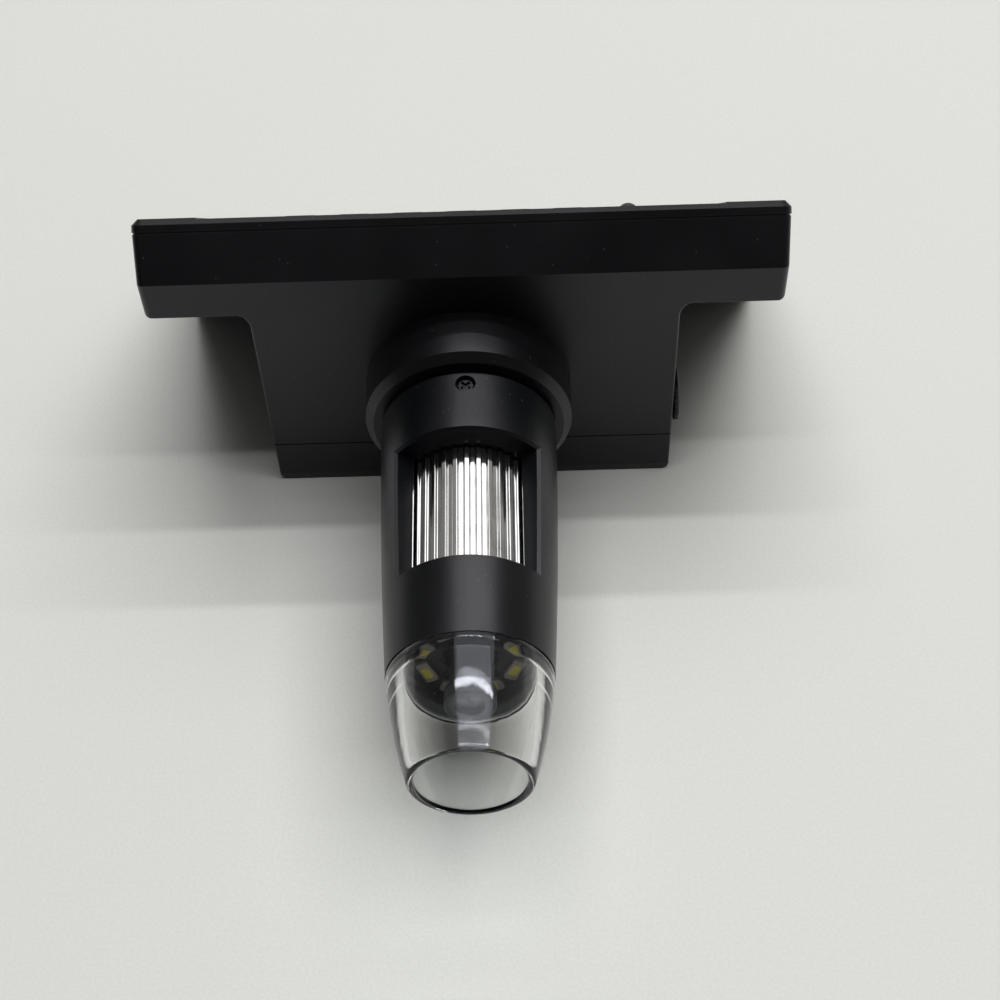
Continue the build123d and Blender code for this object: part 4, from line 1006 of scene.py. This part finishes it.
@dataclass
class Insides:
    """The boards, the battery and the small parts inside the case."""

    board: CircuitBoard = CircuitBoard("green_mask_board")
    chip: PlainPart = PlainPart("chip_epoxy", (0.02, 0.02, 0.021), 0.5)
    connector: PlainPart = PlainPart("connector_nylon", (0.72, 0.68, 0.56), 0.4, 0.08)
    socket: Metal = Metal("tinned_shell", (0.68, 0.68, 0.67), 0.24, (0.15, 1.0, 1.0))
    screw: Metal = Metal("zinc_screw", (0.6, 0.61, 0.62), 0.3)
    pouch: Metal = Metal("foil_pouch", (0.66, 0.67, 0.69), 0.32, (1.0, 0.3, 1.0), 1.0, 0.05)
    lead: PlainPart = PlainPart("red_lead", (0.45, 0.02, 0.02), 0.35, 0.15)
    ribbon: RibbonCable = RibbonCable("amber_ribbon")
    sensor: PlainPart = PlainPart("sensor_window", (0.05, 0.065, 0.1), 0.08, 0.3, 0.6, 0.6)

    def build(self) -> None:
        """Dresses the boards, the battery and the small parts."""
        for finish, names in (
            (self.board, ["main_board", "key_board", "sensor_board"]),
            (self.chip, ["board_chips", "key_switches", "dial_potentiometer"]),
            (self.connector, ["board_connectors"]),
            (self.socket, ["usb_port", "card_socket"]),
            (self.screw, ["board_screws", "key_board_screws", "collar_screws"]),
            (self.pouch, ["battery_cell"]),
            (self.lead, ["battery_leads"]),
            (self.ribbon, ["lcd_ribbon", "sensor_ribbon"]),
            (self.sensor, ["image_sensor"]),
        ):
            dress(names, finish.material())


def joined(name: str, parts: list[bpy.types.Object]) -> bpy.types.Object:
    """Makes one object of several.

    Args:
        name: the new piece's name.
        parts: the objects to join, which are used up.

    Returns:
        The joined object.
    """
    with bpy.context.temp_override(active_object=parts[0], selected_editable_objects=parts):
        bpy.ops.object.join()
    parts[0].name = name
    parts[0].data.name = name
    return parts[0]


# ---------------------------------------------------------------- studio
@dataclass
class Studio:
    """The floor, the lamps of a light tent and the camera.

    The camera's sizes and the floor's radius are in millimetres, and the lamps' in metres.
    """

    lens: float = 85.7077
    azimuth: float = 1.5413
    elevation: float = 52.712
    roll: float = -2.8132
    distance: float = 481.9218
    shift_right: float = 6.3462
    shift_up: float = -24.2292
    sheet_radius: float = 1200.0
    ceiling: float = 2.2
    lamp_across: float = 0.355
    panel_along: float = 0.85
    panel_size: tuple[float, float] = (2.15, 2.5)
    panel_power: float = 28.0
    tube_size: tuple[float, float] = (2.15, 0.075)
    tube_drop: float = 0.02
    tube_leans: tuple[float, ...] = (-0.146, 0.205, 0.521)
    tube_powers: tuple[float, ...] = (10.0, 14.5, 16.0)
    unit_height: float = 0.06
    bright_way: tuple[float, float, float] = (0.5, 0.86, 0.0)
    dark_wall: tuple[float, float, float, float] = (0.06, 0.06, 0.06, 1.0)
    bright_wall: tuple[float, float, float, float] = (0.30, 0.29, 0.27, 1.0)
    backdrop: tuple[float, float, float, float] = (0.72, 0.715, 0.70, 1.0)

    def build(self) -> None:
        """Builds the whole studio."""
        self.floor()
        self.world()
        self.lamps()
        self.camera()

    def floor(self) -> None:
        """A round sheet: rings whose radius grows with the square of the row number, the widest first."""
        rows = (np.linspace(0.02, 1, 24) ** 2 * self.sheet_radius)[:, None]
        turn = np.linspace(0, 2 * pi, 96, endpoint=False)[None, :]
        flat = np.zeros_like(rows * turn)
        points = np.stack((rows * np.cos(turn), rows * np.sin(turn), flat), axis=-1)
        sheet = grid_mesh("floor", points[:, ::-1][::-1])
        sheet.data.materials.append(PaleSheet("seamless_sheet").material())

    def world(self) -> None:
        """The tent's walls: dark, and brighter towards the back on the right.

        The ramp from dark to bright wall reads half of 1 plus the cosine of the angle between a ray and
        the bright way. The camera sees an even backdrop instead.
        """
        world = bpy.data.worlds.new("tent")
        bpy.context.scene.world = world
        world.use_nodes = True
        tree = world.node_tree
        tree.nodes.clear()
        output = tree.nodes.new("ShaderNodeOutputWorld")
        background = tree.nodes.new("ShaderNodeBackground")
        place = tree.nodes.new("ShaderNodeTexCoord")
        facing = tree.nodes.new("ShaderNodeVectorMath")
        facing.operation = "DOT_PRODUCT"
        facing.inputs[1].default_value = self.bright_way
        ramp = tree.nodes.new("ShaderNodeValToRGB")
        stops = ramp.color_ramp.elements
        stops[0].position, stops[0].color = 0.35, self.dark_wall
        stops[1].position, stops[1].color = 0.75, self.bright_wall
        half = tree.nodes.new("ShaderNodeMath")
        half.operation = "MULTIPLY_ADD"
        half.inputs[1].default_value = 0.5
        half.inputs[2].default_value = 0.5
        path = tree.nodes.new("ShaderNodeLightPath")
        mix = tree.nodes.new("ShaderNodeMix")
        mix.data_type = "RGBA"
        mix.inputs[7].default_value = self.backdrop
        tree.links.new(place.outputs["Generated"], facing.inputs[0])
        tree.links.new(facing.outputs["Value"], half.inputs[0])
        tree.links.new(half.outputs[0], ramp.inputs[0])
        tree.links.new(path.outputs["Is Camera Ray"], mix.inputs[0])
        tree.links.new(ramp.outputs[0], mix.inputs[6])
        tree.links.new(mix.outputs[2], background.inputs[0])
        tree.links.new(background.outputs[0], output.inputs[0])

    def lamp(self, name: str, centre: Vector, size: tuple[float, float], power: float) -> None:
        """Adds a rectangular lamp that faces the floor, with its size along X and along Y."""
        data = bpy.data.lights.new(name, "AREA")
        data.shape = "RECTANGLE"
        data.size, data.size_y = size
        data.energy = power
        lamp = bpy.data.objects.new(name, data)
        bpy.context.scene.collection.objects.link(lamp)
        lamp.location = centre

    def lamps(self) -> None:
        """A ceiling panel and three bright tubes just under it.

        A tube hangs as far along Y from the plate as the ceiling's rise over the unit times its lean,
        which is a tangent. The lean sets where the shadow's edge falls on the floor.
        """
        rise = self.ceiling - self.unit_height
        centre = Vector((self.lamp_across, self.panel_along, self.ceiling))
        self.lamp("ceiling_panel", centre, self.panel_size, self.panel_power)
        for i, (lean, power) in enumerate(zip(self.tube_leans, self.tube_powers)):
            along = PLATE_Y * MM + rise * lean
            place = Vector((self.lamp_across, along, self.ceiling - self.tube_drop))
            self.lamp(f"ceiling_tube_{i}", place, self.tube_size, power)

    def camera(self) -> None:
        """The camera, aimed past the point where the barrel's axis meets the plate."""
        data = bpy.data.cameras.new("camera")
        data.sensor_width = 36.0
        data.lens = self.lens
        data.clip_start = 0.01
        camera = bpy.data.objects.new("camera", data)
        bpy.context.scene.collection.objects.link(camera)
        az, el, roll = radians(self.azimuth), radians(self.elevation), radians(self.roll)
        back = Vector((sin(az) * cos(el), -cos(az) * cos(el), sin(el)))
        level = Vector((cos(az), sin(az), 0))
        up = back.cross(level)
        right = cos(roll) * level + sin(roll) * up
        top = cos(roll) * up - sin(roll) * level
        target = Vector((0, PLATE_Y, AXIS_HEIGHT))
        place = target + right * self.shift_right + top * self.shift_up + back * self.distance
        turn = Matrix((right, top, back)).transposed()
        camera.matrix_world = Matrix.Translation(place * MM) @ turn.to_4x4()
        bpy.context.scene.camera = camera
        log.info("camera at %s, %.1f degrees above level", tuple(place), degrees(el))


def main() -> None:
    """Builds the sub-assemblies in order and then the studio."""
    for assembly in (
        Casing(),
        DisplayFace(),
        Barrel(),
        FocusWheel(),
        LensCarrier(),
        LightRing(),
        ClearNose(),
        BrightnessDial(),
        Insides(),
        Studio(),
    ):
        assembly.build()
        log.info("finished %s", type(assembly).__name__)
    bpy.context.scene.view_settings.view_transform = "Standard"


if __name__ == "__main__":
    main()
